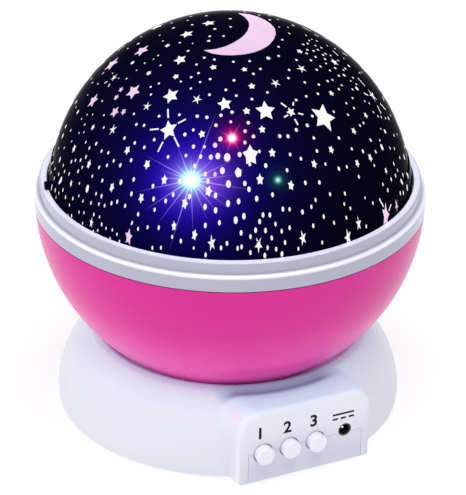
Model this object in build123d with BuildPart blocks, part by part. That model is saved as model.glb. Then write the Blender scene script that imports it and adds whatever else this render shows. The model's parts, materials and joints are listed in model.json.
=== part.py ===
from build123d import *
import os
from math import acos, cos, degrees, pi, radians, sin, sqrt, tan

# Star night light projector: a white base with a control box, a clear coloured bowl that turns
# on it, a pale trim ring, and a dark star dome that lifts off.  The lamps stand still on a post
# in the middle.  Millimetres.  The origin is on the turning axis at the height of the feet's
# undersides, +Z is up, and the control box faces -Y.

# ---------------------------------------------------------------- driving dimensions
# heights of the whole
foot_height = 0.8  # how far the rubber feet stand out below the base
centre_z = 77.0  # height of the centre that the dome, ring and bowl share

# bowl, ring and dome
bowl_r = 66.0
bowl_wall = 2.2
bowl_floor_z = 24.0
bowl_floor_thick = 2.0
bowl_mouth_drop = 3.0  # the bowl's edge lies this far below the shared centre
ring_width = 5.0  # from the dome's outside to the bowl's
dome_wall = 1.5
dome_rim_rise = 1.0  # the dome's lower edge lies this far above the centre
dome_band_top = 12.4  # top of the thicker band round the dome's edge
dome_band_step = 0.45
ring_top_rise = 6.7  # top of the trim ring above the centre
ring_step_out = 1.7  # how far the ring's lower band stands out from its upper one
ring_step_top = 2.9  # where the upper band turns out into the lower one
ring_step_bottom = 1.6
ring_spigot_depth = 3.2
ring_spigot_wall = 1.3
ring_bore_gap = 0.3  # round the dome's edge
ring_ledge_thick = 1.5
ring_lip_round = 0.6
ring_groove = 0.3
tab_angle = 166.3  # the one finger tab on the dome's edge
tab_width = 2.8
tab_height = 1.8
tab_reach = 1.6

# base
shoulder_width = 13.3  # from the dish's rim out to the base's widest radius, at shoulder_z
foot_taper = 0.2  # how much narrower it is at its lower edge
base_wall = 2.0
shoulder_z = 3.0
dish_rim_z = 27.8  # the shoulder ends here, at the rim of the dish that the bowl sinks into
dish_rim_width = 0.8
dish_gap = 0.8  # running gap round the bowl in its dish
dish_floor_gap = 1.0  # under the bowl's floor
dish_floor_thick = 1.7

# control box on the base's front
box_stand_out = 0.85  # how far the face stands in front of the base's widest part
box_depth = 24.0
box_width = 48.6
box_top_z = 26.6
box_corner_r = 7.0
box_edge_r = 1.8
box_blend_r = 2.0
panel_inset = 3.4  # from the box's sides to the insert panel that belongs to the bottom cover
panel_top_z = 11.5
seam_gap = 0.12
button_r = 3.25
button_gap = 0.3
button_pitch = 9.6
button_middle_x = -6.0
button_z = 11.3
button_stand_out = 3.0
button_travel = 0.8
button_flange_r = 4.1
button_flange_thick = 1.0
jack_x = 14.6
jack_z = 12.7
jack_hole_r = 2.4
jack_bore_r = 1.8
jack_pin_r = 0.65
jack_depth = 6.5
jack_nose_gap = 0.1  # between the jack's round nose and its hole
jack_nose_set_in = 0.15  # from the face to the nose
jack_pin_set_in = 1.5  # from the nose to the pin's tip

# bottom cover, battery tray and door
cover_gap = 0.2
cover_thick = 2.0
cell_r = 5.25
cell_length = 44.5
cell_nub_length = 0.8
cell_nub_r = 1.9
cell_count = 4
cell_pitch = 10.8
cell_end_room = 4.7  # for the contacts at both ends of a cell
tray_wall = 1.2
tray_middle_y = 8.6
door_gap = 0.2
door_thick = 1.8
door_ear_width = 11.0
door_ear_length = 8.0
door_tab_width = 6.0
door_tab_reach = 2.4
door_tab_thick = 0.8
door_tab_x = 14.0
door_screw_bore_r = 1.5
door_sink = 0.1  # how far its outside lies inside the cover's
door_rib_x = 12.0
door_rib_thick = 1.5
door_rib_inset = 4.0
grip_length = 14.0
grip_width = 1.2
grip_pitch = 2.4
door_screw_sink = 0.9
door_screw_head_thick = 0.8
door_screw_boss_height = 6.0
contact_thick = 0.4
contact_dimple = 0.5
contact_dimple_r = 1.6
contact_side = 8.0
leaf_width = 6.0
foot_r = 5.0
foot_inset = 13.3  # from the base's widest radius to the feet's circle
foot_recess = 1.2

# drive
plate_z = 14.3  # underside of the gear plate
plate_thick = 1.4
plate_margin = 10.6  # from the hub gear's teeth to the plate's edge
plate_boss_inset = 16.3
plate_boss_angles = (30.0, 130.0, 270.0)
cover_boss_inset = 10.3
cover_boss_angles = (15.0, 165.0, 240.0, 300.0)
boss_r = 3.0
collar_r = 7.0  # fixed tube that the hub turns on
collar_bore_r = 5.0
collar_top_z = 26.2
running_gap = 0.05
washer_thick = 0.5
washer_r = 10.0
neck_r = 20.0
hub_spigot_r = 12.3
neck_gap = 1.0
bowl_screw_angles = (90.0, 210.0, 330.0)
drive_module = 0.7
hub_teeth = 68
idler_small_teeth = 16
hub_gear_z = 18.2
hub_gear_thick = 2.6
motor_module = 0.6
idler_large_teeth = 42
pinion_teeth = 14
large_wheel_z = 16.0
large_wheel_thick = 1.7
gear_backlash = 0.14
idler_angle = 165.0
motor_angle = 235.0  # direction of the motor's axis seen from the idler's
idler_axle_r = 1.5
axle_end_gap = 0.1  # under the dish's floor
motor_r = 10.0
motor_height = 10.7
motor_nose_r = 3.0
motor_shaft_r = 1.0
motor_screw_circle_r = 7.0
motor_tag_width = 2.0
motor_tag_thick = 0.5
motor_rim_r = 1.5  # how far the gear plate reaches past the motor

# lamps
lamp_ring_r = 17.0
lamp_first_angle = 64.4
lamp_r = 2.5
lamp_rim_r = 2.9
lamp_height = 8.6
board_thick = 1.2
lamp_board_r = 22.0
lamp_board_z = 79.8
wire_hole_r = 1.0
wire_hole_angles = (60.0, 180.0, 300.0)  # from the first lamp
wire_hole_circle_r = 8.0
post_foot_r = 10.0
post_foot_thick = 1.6
post_low_r = 6.6
post_high_r = 5.4
post_bore_r = 3.5
post_head_r = 9.0
post_head_thick = 1.5
post_flare = 3.0  # height of the cone under its head
post_spigot_depth = 8.0  # how deep the post's foot reaches into the collar

# control board
board_set_back = 7.2  # from the inside of the face to the board
board_side_gap = 1.2  # from the inside of the box to the board
board_boss_r = 2.2
board_screw_inset = 2.5  # from the board's side and top edges to its screws
board_rest_rise = 1.2  # from the cover's plate to the board's lower edge
board_rest_inset = 3.0
board_top_gap = 2.2  # from the inside of the box's top to the board's upper edge
switch_side = 6.0
switch_depth = 3.5
plunger_r = 1.75
plunger_rise = 1.5
plunger_depth = 0.7  # how deep the plunger sits in the switch at rest
plunger_spare = 1.5  # room behind the plunger, more than the button's travel
button_stem_r = 2.0
button_edge_round = 0.9
jack_side = 6.4

# screws
screw_r = 1.2
screw_bite = 4.0  # how far a screw's shank reaches into its boss
cover_screw_bite = 8.0
cover_screw_floor = 0.8  # thickness left under a sunk head
cover_screw_head_thick = 1.0
screw_head_r = 2.3
screw_head_thick = 1.4
small_screw_r = 0.9
small_screw_head_r = 1.8
small_screw_head_thick = 1.0
small_screw_bite = 2.5
door_screw_bite = 3.2
hole_gap = 0.2  # clearance hole round a screw's shank or head
small_hole_gap = 0.1

# ---------------------------------------------------------------- sizes that follow
base_z = foot_height
dome_r = bowl_r - ring_width
ring_lip_r = bowl_r - ring_step_out
dish_r = bowl_r + dish_gap
dish_rim_r = sqrt(dish_r**2 - (centre_z - dish_rim_z) ** 2) + dish_rim_width
base_r = dish_rim_r + shoulder_width
base_foot_r = base_r - foot_taper
box_face_y = -(base_r + box_stand_out)
shoulder_rise = dish_rim_z - shoulder_z
shoulder_arc_r = (shoulder_width**2 + shoulder_rise**2) / (2 * shoulder_width)
shoulder_arc_centre_r = base_r - shoulder_arc_r
foot_circle_r = base_r - foot_inset
plate_boss_circle_r = base_r - plate_boss_inset
cover_boss_circle_r = base_r - cover_boss_inset
dish_floor_z = bowl_floor_z - dish_floor_gap
bowl_mouth_z = centre_z - bowl_mouth_drop
dome_rim_z = centre_z + dome_rim_rise
dome_edge_r = dome_r + dome_band_step
ring_bore_r = dome_edge_r + ring_bore_gap
ring_ledge_r = dome_r - dome_wall - 0.4
ring_ledge_top_z = dome_rim_z - 0.2
ring_top_z = centre_z + ring_top_rise
box_inner_y = box_face_y + base_wall
jack_nose_y = box_face_y + jack_nose_set_in
panel_half_width = box_width / 2 - panel_inset
cover_r = base_foot_r - base_wall - cover_gap
cover_top_z = base_z + cover_thick
door_z = base_z + door_sink
cell_z = cover_top_z + 0.35 + cell_r
tray_width = cell_count * cell_pitch
tray_length = cell_length + cell_end_room
door_front_y = tray_middle_y - tray_width / 2 + door_gap
door_back_y = tray_middle_y + tray_width / 2 - door_gap
door_screw_y = door_back_y + door_ear_length / 2
plate_top_z = plate_z + plate_thick
hub_foot_z = plate_top_z + washer_thick
idler_distance = drive_module * (hub_teeth + idler_small_teeth) / 2
motor_distance = motor_module * (idler_large_teeth + pinion_teeth) / 2
idler_x = idler_distance * cos(radians(idler_angle))
idler_y = idler_distance * sin(radians(idler_angle))
motor_x = idler_x + motor_distance * cos(radians(motor_angle))
motor_y = idler_y + motor_distance * sin(radians(motor_angle))
motor_screw_places = [
    (motor_x + motor_screw_circle_r * cos(radians(motor_angle + turn)),
     motor_y + motor_screw_circle_r * sin(radians(motor_angle + turn)))
    for turn in (-90, 90)
]
post_head_z = lamp_board_z - post_head_thick
post_spigot_r = collar_bore_r - running_gap
wire_hole_places = [polar(wire_hole_circle_r, lamp_first_angle + turn) for turn in wire_hole_angles]
ring_spigot_r = sqrt((bowl_r - bowl_wall) ** 2 - (bowl_mouth_drop + ring_spigot_depth) ** 2) - 0.1
board_low_z = cover_top_z + board_rest_rise
board_front_y = box_inner_y + board_set_back
board_back_y = board_front_y + board_thick
plate_r = drive_module * hub_teeth / 2 + plate_margin
switch_front_y = board_front_y - switch_depth
plunger_front_y = switch_front_y - plunger_rise
button_xs = [button_middle_x + i * button_pitch for i in (-1, 0, 1)]
hub_top_z = bowl_floor_z
bowl_screw_circle_r = (hub_spigot_r + neck_r) / 2
board_width = box_width - 2 * base_wall - 2 * board_side_gap
board_high_z = box_top_z - base_wall - board_top_gap
board_screw_xs = (board_screw_inset - board_width / 2, board_width / 2 - board_screw_inset)
board_screw_z = board_high_z - board_screw_inset

os.makedirs("parts", exist_ok=True)


def save(builder, name):
    """Label a finished piece and write its file."""
    builder.part.label = name
    export_step(builder.part, "parts/" + name + ".step")


# ---------------------------------------------------------------- shared outlines
def sphere_slice(radius, low_z, high_z):
    """Draw half the section of a ball about the shared centre, between two heights."""
    with Locations((0, centre_z)):
        Circle(radius)
    with Locations((0, low_z)):
        Rectangle(radius + 1, high_z - low_z, align=(Align.MIN, Align.MIN), mode=Mode.INTERSECT)


def ring_section(inner_r, outer_r, low_z, high_z):
    """Draw half the section of a plain ring or disc on the turning axis."""
    with Locations((inner_r, low_z)):
        Rectangle(outer_r - inner_r, high_z - low_z, align=(Align.MIN, Align.MIN))


def polar(radius, angle):
    """A place in plan from its radius and its angle in degrees."""
    return (radius * cos(radians(angle)), radius * sin(radians(angle)))


def involute_angle(base_circle_r, radius):
    """Angle that an involute has turned through, from its base circle out to a radius."""
    if radius <= base_circle_r:
        return 0.0
    ratio = acos(base_circle_r / radius)
    return tan(ratio) - ratio


def gear_outline(teeth, module, phase):
    """Draw the outline of a spur gear with involute flanks, one tooth centred on phase."""
    pitch_r = module * teeth / 2
    base_circle_r = pitch_r * cos(radians(20))
    tip_r = pitch_r + 0.9 * module
    root_r = pitch_r - 1.2 * module
    half_tooth = (pi / 2 - gear_backlash / module) / teeth + involute_angle(base_circle_r, pitch_r)
    start_r = max(root_r, base_circle_r)
    middle_r = (start_r + tip_r) / 2

    def place(radius, angle):
        return (radius * cos(angle), radius * sin(angle))

    starts = []
    ends = []
    for tooth in range(teeth):
        axis = radians(phase) + 2 * pi * tooth / teeth
        sides = []
        for side in (-1, 1):
            low = axis + side * (half_tooth - involute_angle(base_circle_r, start_r))
            middle = axis + side * (half_tooth - involute_angle(base_circle_r, middle_r))
            high = axis + side * (half_tooth - involute_angle(base_circle_r, tip_r))
            sides.append((place(root_r, low), place(start_r, low),
                          place(middle_r, middle), place(tip_r, high)))
        for root, foot, flank, tip in sides:
            if start_r > root_r:
                Line(root, foot)
            ThreePointArc(foot, flank, tip)
        Line(sides[0][3], sides[1][3])
        starts.append(sides[0][0])
        ends.append(sides[1][0])
    for tooth in range(teeth):
        Line(ends[tooth], starts[(tooth + 1) % teeth])


# ---------------------------------------------------------------- base: outer form
def base_form():
    """The base's outside with its control box, solid inside, before the dish is cut."""
    with BuildPart() as form:
        rim_angle = degrees(acos((dish_rim_r - shoulder_arc_centre_r) / shoulder_arc_r))
        with BuildSketch(Plane.XZ):
            with BuildLine():
                shoulder = CenterArc((shoulder_arc_centre_r, shoulder_z), shoulder_arc_r, 0, rim_angle)
                Line((base_r, shoulder_z), (base_foot_r, base_z))
                Line((base_foot_r, base_z), (0, base_z))
                Line((0, base_z), (0, dish_rim_z))
                Line((0, dish_rim_z), shoulder @ 1)
            make_face()
        revolve(axis=Axis.Z)
        with BuildSketch(Plane.XZ.offset(-box_face_y)):
            with Locations((0, base_z)):
                box = Rectangle(box_width, box_top_z - base_z, align=(Align.CENTER, Align.MIN))
            fillet(box.vertices().group_by(Axis.Y)[-1], box_corner_r)
        extrude(amount=-box_depth)
        front = form.faces().filter_by(Axis.Y).sort_by(Axis.Y)[0]
        fillet(front.edges().filter_by(lambda edge: edge.center().Z > base_z + 0.1), box_edge_r)
        # soft blend where the box's sides and top grow out of the round body
        seam = form.edges().filter_by(lambda edge: edge.geom_type in (GeomType.HYPERBOLA, GeomType.BSPLINE))
        fillet(seam, box_blend_r)
    return form.part


outer_form = base_form()

# ---------------------------------------------------------------- base shell
with BuildPart() as base_shell:
    add(outer_form)
    # dish for the bowl
    with BuildSketch(Plane.XZ):
        sphere_slice(dish_r, dish_floor_z, dish_rim_z + 1)
    revolve(axis=Axis.Z, mode=Mode.SUBTRACT)
    # inside of the round body, under the shoulder and the dish
    with BuildSketch(Plane.XZ):
        with BuildLine():
            inner_low = base_foot_r - base_wall
            inner_wide = base_r - base_wall
            inner_arc = CenterArc((shoulder_arc_centre_r, shoulder_z), shoulder_arc_r - base_wall, 0, 90)
            Line((inner_wide, shoulder_z), (inner_low, base_z - 1))
            Line((inner_low, base_z - 1), (0, base_z - 1))
            Line((0, base_z - 1), (0, shoulder_z + shoulder_arc_r - base_wall))
            Line((0, shoulder_z + shoulder_arc_r - base_wall), inner_arc @ 1)
        make_face()
        with Locations((0, centre_z)):
            Circle(dish_r + base_wall, mode=Mode.SUBTRACT)
        with Locations((0, base_z - 1)):
            Rectangle(dish_rim_r, dish_floor_z - dish_floor_thick - base_z + 1,
                      align=(Align.MIN, Align.MIN))
    revolve(axis=Axis.Z, mode=Mode.SUBTRACT)
    # inside of the control box
    with BuildSketch(Plane.XZ.offset(-box_inner_y)):
        with Locations((0, base_z - 1)):
            room = Rectangle(box_width - 2 * base_wall, box_top_z - base_wall - base_z + 1,
                             align=(Align.CENTER, Align.MIN))
        fillet(room.vertices().group_by(Axis.Y)[-1], box_corner_r - base_wall)
    extrude(amount=-(-box_inner_y - dish_rim_r), mode=Mode.SUBTRACT)
    # room in the face for the bottom cover's panel
    with BuildSketch(Plane.XZ.offset(-box_face_y + 1)):
        with Locations((0, base_z - 1)):
            Rectangle(2 * (panel_half_width + seam_gap), panel_top_z + seam_gap - base_z + 1,
                      align=(Align.CENTER, Align.MIN))
    extrude(amount=-(base_wall + 1), mode=Mode.SUBTRACT)
    # hole in the dish for the turning neck
    with BuildSketch(Plane.XY.offset(dish_floor_z - dish_floor_thick - 1)):
        Circle(neck_r + neck_gap)
    extrude(amount=dish_floor_thick + 2, mode=Mode.SUBTRACT)
    # bosses for the bottom cover's screws and the gear plate's screws
    with BuildSketch(Plane.XY.offset(cover_top_z)):
        with Locations(*[polar(cover_boss_circle_r, angle) for angle in cover_boss_angles]):
            Circle(boss_r)
    extrude(until=Until.NEXT)
    with BuildSketch(Plane.XY.offset(plate_top_z)):
        with Locations(*[polar(plate_boss_circle_r, angle) for angle in plate_boss_angles]):
            Circle(boss_r)
    extrude(until=Until.NEXT)
    with BuildSketch(Plane.XY.offset(cover_top_z)):
        with Locations(*[polar(cover_boss_circle_r, angle) for angle in cover_boss_angles]):
            Circle(screw_r)
    extrude(amount=cover_screw_bite + 2, mode=Mode.SUBTRACT)
    with BuildSketch(Plane.XY.offset(plate_top_z)):
        with Locations(*[polar(plate_boss_circle_r, angle) for angle in plate_boss_angles]):
            Circle(screw_r)
    extrude(amount=screw_bite + 0.5, mode=Mode.SUBTRACT)
    # bosses inside the face for the control board
    with BuildSketch(Plane.XZ.offset(-board_front_y)):
        with Locations(*[(x, board_screw_z) for x in board_screw_xs]):
            Circle(board_boss_r)
    extrude(amount=board_set_back)
    with BuildSketch(Plane.XZ.offset(-board_front_y)):
        with Locations(*[(x, board_screw_z) for x in board_screw_xs]):
            Circle(small_screw_r)
    extrude(amount=screw_bite + 0.5, mode=Mode.SUBTRACT)
    # button holes and jack hole
    with BuildSketch(Plane.XZ.offset(-box_face_y + 1)):
        with Locations(*[(x, button_z) for x in button_xs]):
            Circle(button_r + button_gap)
        with Locations((jack_x, jack_z)):
            Circle(jack_hole_r)
    extrude(amount=-(base_wall + 1), mode=Mode.SUBTRACT)
save(base_shell, "base_shell")

# ---------------------------------------------------------------- bottom cover with battery tray
with BuildPart() as bottom_cover:
    # front panel, cut from the base's own form so that its face is flush
    with BuildSketch(Plane.XZ.offset(-box_face_y + 1)):
        with Locations((0, base_z)):
            Rectangle(2 * panel_half_width, panel_top_z - base_z, align=(Align.CENTER, Align.MIN))
    extrude(amount=-(base_wall + 1))
    add(outer_form, mode=Mode.INTERSECT)
    # plate
    with BuildSketch(Plane.XY.offset(base_z)):
        Circle(cover_r)
        with Locations((0, box_inner_y)):
            Rectangle(box_width - 2 * base_wall - 2 * cover_gap, -box_inner_y,
                      align=(Align.CENTER, Align.MIN))
    extrude(amount=cover_thick)
    # stop under the control board
    with BuildSketch(Plane.XY.offset(cover_top_z)):
        with Locations((0, board_back_y - board_thick / 2)):
            Rectangle(board_width - 2 * board_rest_inset, 2.5 * board_thick)
    extrude(amount=board_low_z - cover_top_z)
    # tray walls
    with BuildSketch(Plane.XY.offset(cover_top_z)):
        with Locations((0, tray_middle_y)):
            Rectangle(tray_length + 2 * tray_wall, tray_width + 2 * tray_wall)
            Rectangle(tray_length, tray_width, mode=Mode.SUBTRACT)
    extrude(amount=plate_z - cover_top_z - 0.1)
    # boss for the door's screw
    with BuildSketch(Plane.XY.offset(cover_top_z)):
        with Locations((0, door_screw_y)):
            Circle(boss_r)
    extrude(amount=door_screw_boss_height)
    # opening for the door and its ear
    with BuildSketch(Plane.XY.offset(base_z - 1)):
        with Locations((0, tray_middle_y)):
            Rectangle(tray_length, tray_width)
    extrude(amount=cover_thick + 1, mode=Mode.SUBTRACT)
    with BuildSketch(Plane.XY.offset(base_z - 1)):
        with Locations((0, door_back_y)):
            Rectangle(door_ear_width + 2 * door_gap, door_ear_length + door_gap,
                      align=(Align.CENTER, Align.MIN))
    extrude(amount=door_z + door_thick + 0.1 - base_z + 1, mode=Mode.SUBTRACT)
    with BuildSketch(Plane.XY.offset(base_z)):
        with Locations((0, door_screw_y)):
            Circle(door_screw_bore_r)
    extrude(amount=cover_thick + door_screw_boss_height - 1, mode=Mode.SUBTRACT)
    # slots in the tray's front wall for the door's tabs
    with BuildSketch(Plane.XY.offset(cover_top_z)):
        with Locations(*[(x, door_front_y - tray_wall) for x in (-door_tab_x, door_tab_x)]):
            Rectangle(door_tab_width + 0.6, 2 * tray_wall + 1)
    extrude(amount=3.6, mode=Mode.SUBTRACT)
    # recesses for the feet, and screw holes with sunk heads
    with BuildSketch(Plane.XY.offset(base_z - 1)):
        with PolarLocations(foot_circle_r, 4, start_angle=45):
            Circle(foot_r + 0.1)
    extrude(amount=foot_recess + 1, mode=Mode.SUBTRACT)
    with BuildSketch(Plane.XY.offset(base_z - 1)):
        with Locations(*[polar(cover_boss_circle_r, angle) for angle in cover_boss_angles]):
            Circle(screw_r + hole_gap)
    extrude(amount=cover_thick + 2, mode=Mode.SUBTRACT)
    with BuildSketch(Plane.XY.offset(base_z - 1)):
        with Locations(*[polar(cover_boss_circle_r, angle) for angle in cover_boss_angles]):
            Circle(screw_head_r + hole_gap)
    extrude(amount=1 + cover_thick - cover_screw_floor, mode=Mode.SUBTRACT)
    # button holes and jack hole through the panel
    with BuildSketch(Plane.XZ.offset(-box_face_y + 1)):
        with Locations(*[(x, button_z) for x in button_xs]):
            Circle(button_r + button_gap)
        with Locations((jack_x, jack_z)):
            Circle(jack_hole_r)
    extrude(amount=-(base_wall + 1), mode=Mode.SUBTRACT)
save(bottom_cover, "bottom_cover")

with BuildPart() as rubber_feet:
    with BuildSketch(Plane.XY):
        with PolarLocations(foot_circle_r, 4, start_angle=45):
            Circle(foot_r)
    extrude(amount=base_z + foot_recess)
    chamfer(rubber_feet.faces().filter_by(Axis.Z).group_by(Axis.Z)[0].edges(), 0.4)
save(rubber_feet, "rubber_feet")


def screws(places, head_z, shank_end_z, shank_r, head_r, head_thick):
    """A group of upright pan-head screws; the head is on the far side of head_z."""
    way = 1 if head_z > shank_end_z else -1
    with BuildPart() as group:
        with BuildSketch(Plane.XY.offset(shank_end_z)):
            with Locations(*places):
                Circle(shank_r)
        extrude(amount=head_z - shank_end_z)
        with BuildSketch(Plane.XY.offset(head_z)):
            with Locations(*places):
                Circle(head_r)
        extrude(amount=way * head_thick)
        tops = group.faces().filter_by(Axis.Z).sort_by(Axis.Z)
        tops = tops[-len(places):] if way > 0 else tops[:len(places)]
        fillet(tops.edges(), 0.35 * head_thick)
        # cross slots
        for turn in (0, 90):
            with BuildSketch(Plane.XY.offset(head_z + way * head_thick)):
                with Locations(*places):
                    Rectangle(1.3 * head_r, 0.28 * head_r, rotation=turn)
            extrude(amount=-way * 0.5 * head_thick, mode=Mode.SUBTRACT)
    return group


base_screws = screws([polar(cover_boss_circle_r, angle) for angle in cover_boss_angles],
                     cover_top_z - cover_screw_floor, cover_top_z + cover_screw_bite, screw_r,
                     screw_head_r, cover_screw_head_thick)
save(base_screws, "base_screws")

# ---------------------------------------------------------------- battery door, cells and contacts
with BuildPart() as battery_door:
    with BuildSketch(Plane.XY.offset(door_z)):
        with Locations((0, tray_middle_y)):
            Rectangle(tray_length - 2 * door_gap, door_back_y - door_front_y)
        with Locations((0, door_back_y)):
            Rectangle(door_ear_width, door_ear_length, align=(Align.CENTER, Align.MIN))
    extrude(amount=door_thick)
    # two ribs that the cells lie on
    with BuildSketch(Plane.XY.offset(door_z + door_thick)):
        with Locations(*[(x, tray_middle_y) for x in (-door_rib_x, door_rib_x)]):
            Rectangle(door_rib_thick, tray_width - 2 * door_rib_inset)
    extrude(amount=cell_z - cell_r - door_z - door_thick - 0.1)
    # tabs that hook over the cover's edge
    for x in (-door_tab_x, door_tab_x):
        with BuildSketch(Plane.YZ.offset(x - door_tab_width / 2)):
            with Locations((door_front_y - door_tab_reach, cover_top_z + 0.1)):
                Rectangle(door_tab_reach + 1.5, door_tab_thick, align=(Align.MIN, Align.MIN))
            with Locations((door_front_y, door_z + door_thick)):
                Rectangle(1.5, cover_top_z + 0.2 - door_z - door_thick, align=(Align.MIN, Align.MIN))
        extrude(amount=door_tab_width)
    # grip grooves on the outside, and the screw's sunk hole
    with BuildSketch(Plane.XY.offset(door_z)):
        with Locations((0, door_back_y - 2 * grip_pitch)):
            with GridLocations(0, grip_pitch, 1, 3):
                SlotOverall(grip_length, grip_width)
    extrude(amount=0.5, mode=Mode.SUBTRACT)
    with Locations(Plane(origin=(0, door_screw_y, door_z), z_dir=(0, 0, -1))):
        CounterBoreHole(small_screw_r + small_hole_gap, small_screw_head_r + small_hole_gap, door_screw_sink)
save(battery_door, "battery_door")

door_screw = screws([(0, door_screw_y)], door_z + door_screw_sink, cover_top_z + door_screw_bite,
                    small_screw_r, small_screw_head_r, door_screw_head_thick)
save(door_screw, "door_screw")

with BuildPart() as battery_cells:
    can_length = cell_length - cell_nub_length
    for cell in range(cell_count):
        way = 1 if cell % 2 == 0 else -1
        y = tray_middle_y + (cell - (cell_count - 1) / 2) * cell_pitch
        nub_end_x = way * (tray_length / 2 - contact_thick - contact_dimple)
        with BuildSketch(Plane(origin=(nub_end_x, y, cell_z), z_dir=(-way, 0, 0))):
            Circle(cell_nub_r)
        extrude(amount=cell_nub_length)
        with BuildSketch(Plane(origin=(nub_end_x - way * cell_nub_length, y, cell_z), z_dir=(-way, 0, 0))):
            Circle(cell_r)
        extrude(amount=can_length)
save(battery_cells, "battery_cells")

with BuildPart() as battery_contacts:
    for cell in range(cell_count):
        way = 1 if cell % 2 == 0 else -1
        y = tray_middle_y + (cell - (cell_count - 1) / 2) * cell_pitch
        wall_x = way * tray_length / 2
        # plate with a pressed dimple for the nub
        with BuildSketch(Plane(origin=(wall_x, y, cell_z), z_dir=(-way, 0, 0))):
            Rectangle(contact_side, contact_side)
        extrude(amount=contact_thick)
        with BuildSketch(Plane(origin=(wall_x - way * contact_thick, y, cell_z), z_dir=(-way, 0, 0))):
            Circle(contact_dimple_r)
        extrude(amount=contact_dimple)
        # bowed leaf that presses on the can's flat end
        leaf_x = -wall_x
        reach = cell_end_room - contact_thick - contact_dimple
        outer_low = (leaf_x, cell_z - contact_side / 2)
        outer_high = (leaf_x, cell_z + contact_side / 2)
        inner_low = (leaf_x, cell_z - contact_side / 2 + 1.5 * contact_thick)
        inner_high = (leaf_x, cell_z + contact_side / 2 - 1.5 * contact_thick)
        with BuildSketch(Plane.XZ.offset(-y - leaf_width / 2)):
            with BuildLine():
                ThreePointArc(outer_low, (leaf_x + way * reach, cell_z), outer_high)
                Line(outer_high, inner_high)
                ThreePointArc(inner_high, (leaf_x + way * (reach - contact_thick), cell_z), inner_low)
                Line(inner_low, outer_low)
            make_face()
        extrude(amount=leaf_width)
save(battery_contacts, "battery_contacts")

# ---------------------------------------------------------------- gear plate and motor
with BuildPart() as gear_plate:
    with BuildSketch(Plane.XY.offset(plate_z)):
        Circle(plate_r)
        with Locations((motor_x, motor_y)):
            Circle(motor_r + motor_rim_r)
        for angle in plate_boss_angles:
            with Locations(Rotation(0, 0, angle)):
                with Locations((plate_boss_circle_r / 2, 0)):
                    Rectangle(plate_boss_circle_r, 2 * boss_r + 2)
            with Locations(polar(plate_boss_circle_r, angle)):
                Circle(boss_r + 1)
    extrude(amount=plate_thick)
    with BuildSketch(Plane.XY.offset(plate_top_z)):
        Circle(collar_r)
    extrude(amount=collar_top_z - plate_top_z)
    with BuildSketch(Plane.XY.offset(plate_top_z)):
        with Locations((idler_x, idler_y)):
            Circle(2 * idler_axle_r)
    extrude(amount=0.2)
    with BuildSketch(Plane.XY.offset(plate_z - 1)):
        Circle(collar_bore_r)
        with Locations((idler_x, idler_y)):
            Circle(idler_axle_r)
        with Locations((motor_x, motor_y)):
            Circle(motor_nose_r + 0.1)
        with Locations(*motor_screw_places):
            Circle(small_screw_r + small_hole_gap)
        with Locations(*[polar(plate_boss_circle_r, angle) for angle in plate_boss_angles]):
            Circle(screw_r + hole_gap)
    extrude(amount=collar_top_z - plate_z + 2, mode=Mode.SUBTRACT)
save(gear_plate, "gear_plate")

plate_screws = screws([polar(plate_boss_circle_r, angle) for angle in plate_boss_angles],
                      plate_z, plate_top_z + screw_bite, screw_r, screw_head_r, screw_head_thick)
save(plate_screws, "gear_plate_screws")

with BuildPart() as idler_axle:
    with BuildSketch(Plane.XY.offset(plate_z)):
        with Locations((idler_x, idler_y)):
            Circle(idler_axle_r)
    extrude(amount=dish_floor_z - dish_floor_thick - axle_end_gap - plate_z)
    chamfer(idler_axle.faces().sort_by(Axis.Z)[-1].edges(), 0.3)
save(idler_axle, "idler_axle")

with BuildPart() as motor:
    with BuildSketch(Plane.XY.offset(plate_z)):
        with Locations((motor_x, motor_y)):
            Circle(motor_r)
    extrude(amount=-motor_height)
    fillet(motor.faces().sort_by(Axis.Z)[0].edges(), 1.0)
    with BuildSketch(Plane.XY.offset(plate_z)):
        with Locations((motor_x, motor_y)):
            Circle(motor_nose_r)
    extrude(amount=plate_thick)
    # bore for the rotor's shaft, and the holes for the two screws
    with BuildSketch(Plane.XY.offset(plate_top_z)):
        with Locations((motor_x, motor_y)):
            Circle(motor_shaft_r + running_gap)
    extrude(amount=-(plate_thick + motor_height / 2), mode=Mode.SUBTRACT)
    with BuildSketch(Plane.XY.offset(plate_z)):
        with Locations(*motor_screw_places):
            Circle(small_screw_r)
    extrude(amount=-small_screw_bite, mode=Mode.SUBTRACT)
    # solder tags
    with BuildSketch(Plane.XY.offset(plate_z - motor_height)):
        with Locations((motor_x, motor_y)):
            with GridLocations(0.8 * motor_r, 0, 2, 1):
                Rectangle(motor_tag_thick, motor_tag_width)
    extrude(amount=-motor_tag_thick)
save(motor, "motor")

motor_screws = screws(motor_screw_places, plate_top_z, plate_z - small_screw_bite, small_screw_r,
                      small_screw_head_r, small_screw_head_thick)
save(motor_screws, "motor_screws")

with BuildPart() as motor_shaft:
    with BuildSketch(Plane.XY.offset(plate_z - motor_height / 2 + 0.5)):
        with Locations((motor_x, motor_y)):
            Circle(motor_shaft_r)
    extrude(amount=large_wheel_z + large_wheel_thick - plate_z + motor_height / 2)
save(motor_shaft, "motor_shaft")


def spur_gear(teeth, module, phase, place, low_z, thick, bore_r):
    """One spur gear on an upright axis, with a plain bore."""
    with BuildPart() as gear:
        with BuildSketch(Plane.XY.offset(low_z)) as face:
            with BuildLine():
                gear_outline(teeth, module, phase)
            make_face()
            Circle(bore_r, mode=Mode.SUBTRACT)
        extrude(amount=thick)
    return Pos(place[0], place[1], 0) * gear.part


# a gap of the pinion faces the wheel's tooth
with BuildPart() as motor_pinion:
    add(spur_gear(pinion_teeth, motor_module, motor_angle + 180 + 180 / pinion_teeth,
                  (motor_x, motor_y), large_wheel_z, large_wheel_thick, motor_shaft_r))
save(motor_pinion, "motor_pinion")

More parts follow.
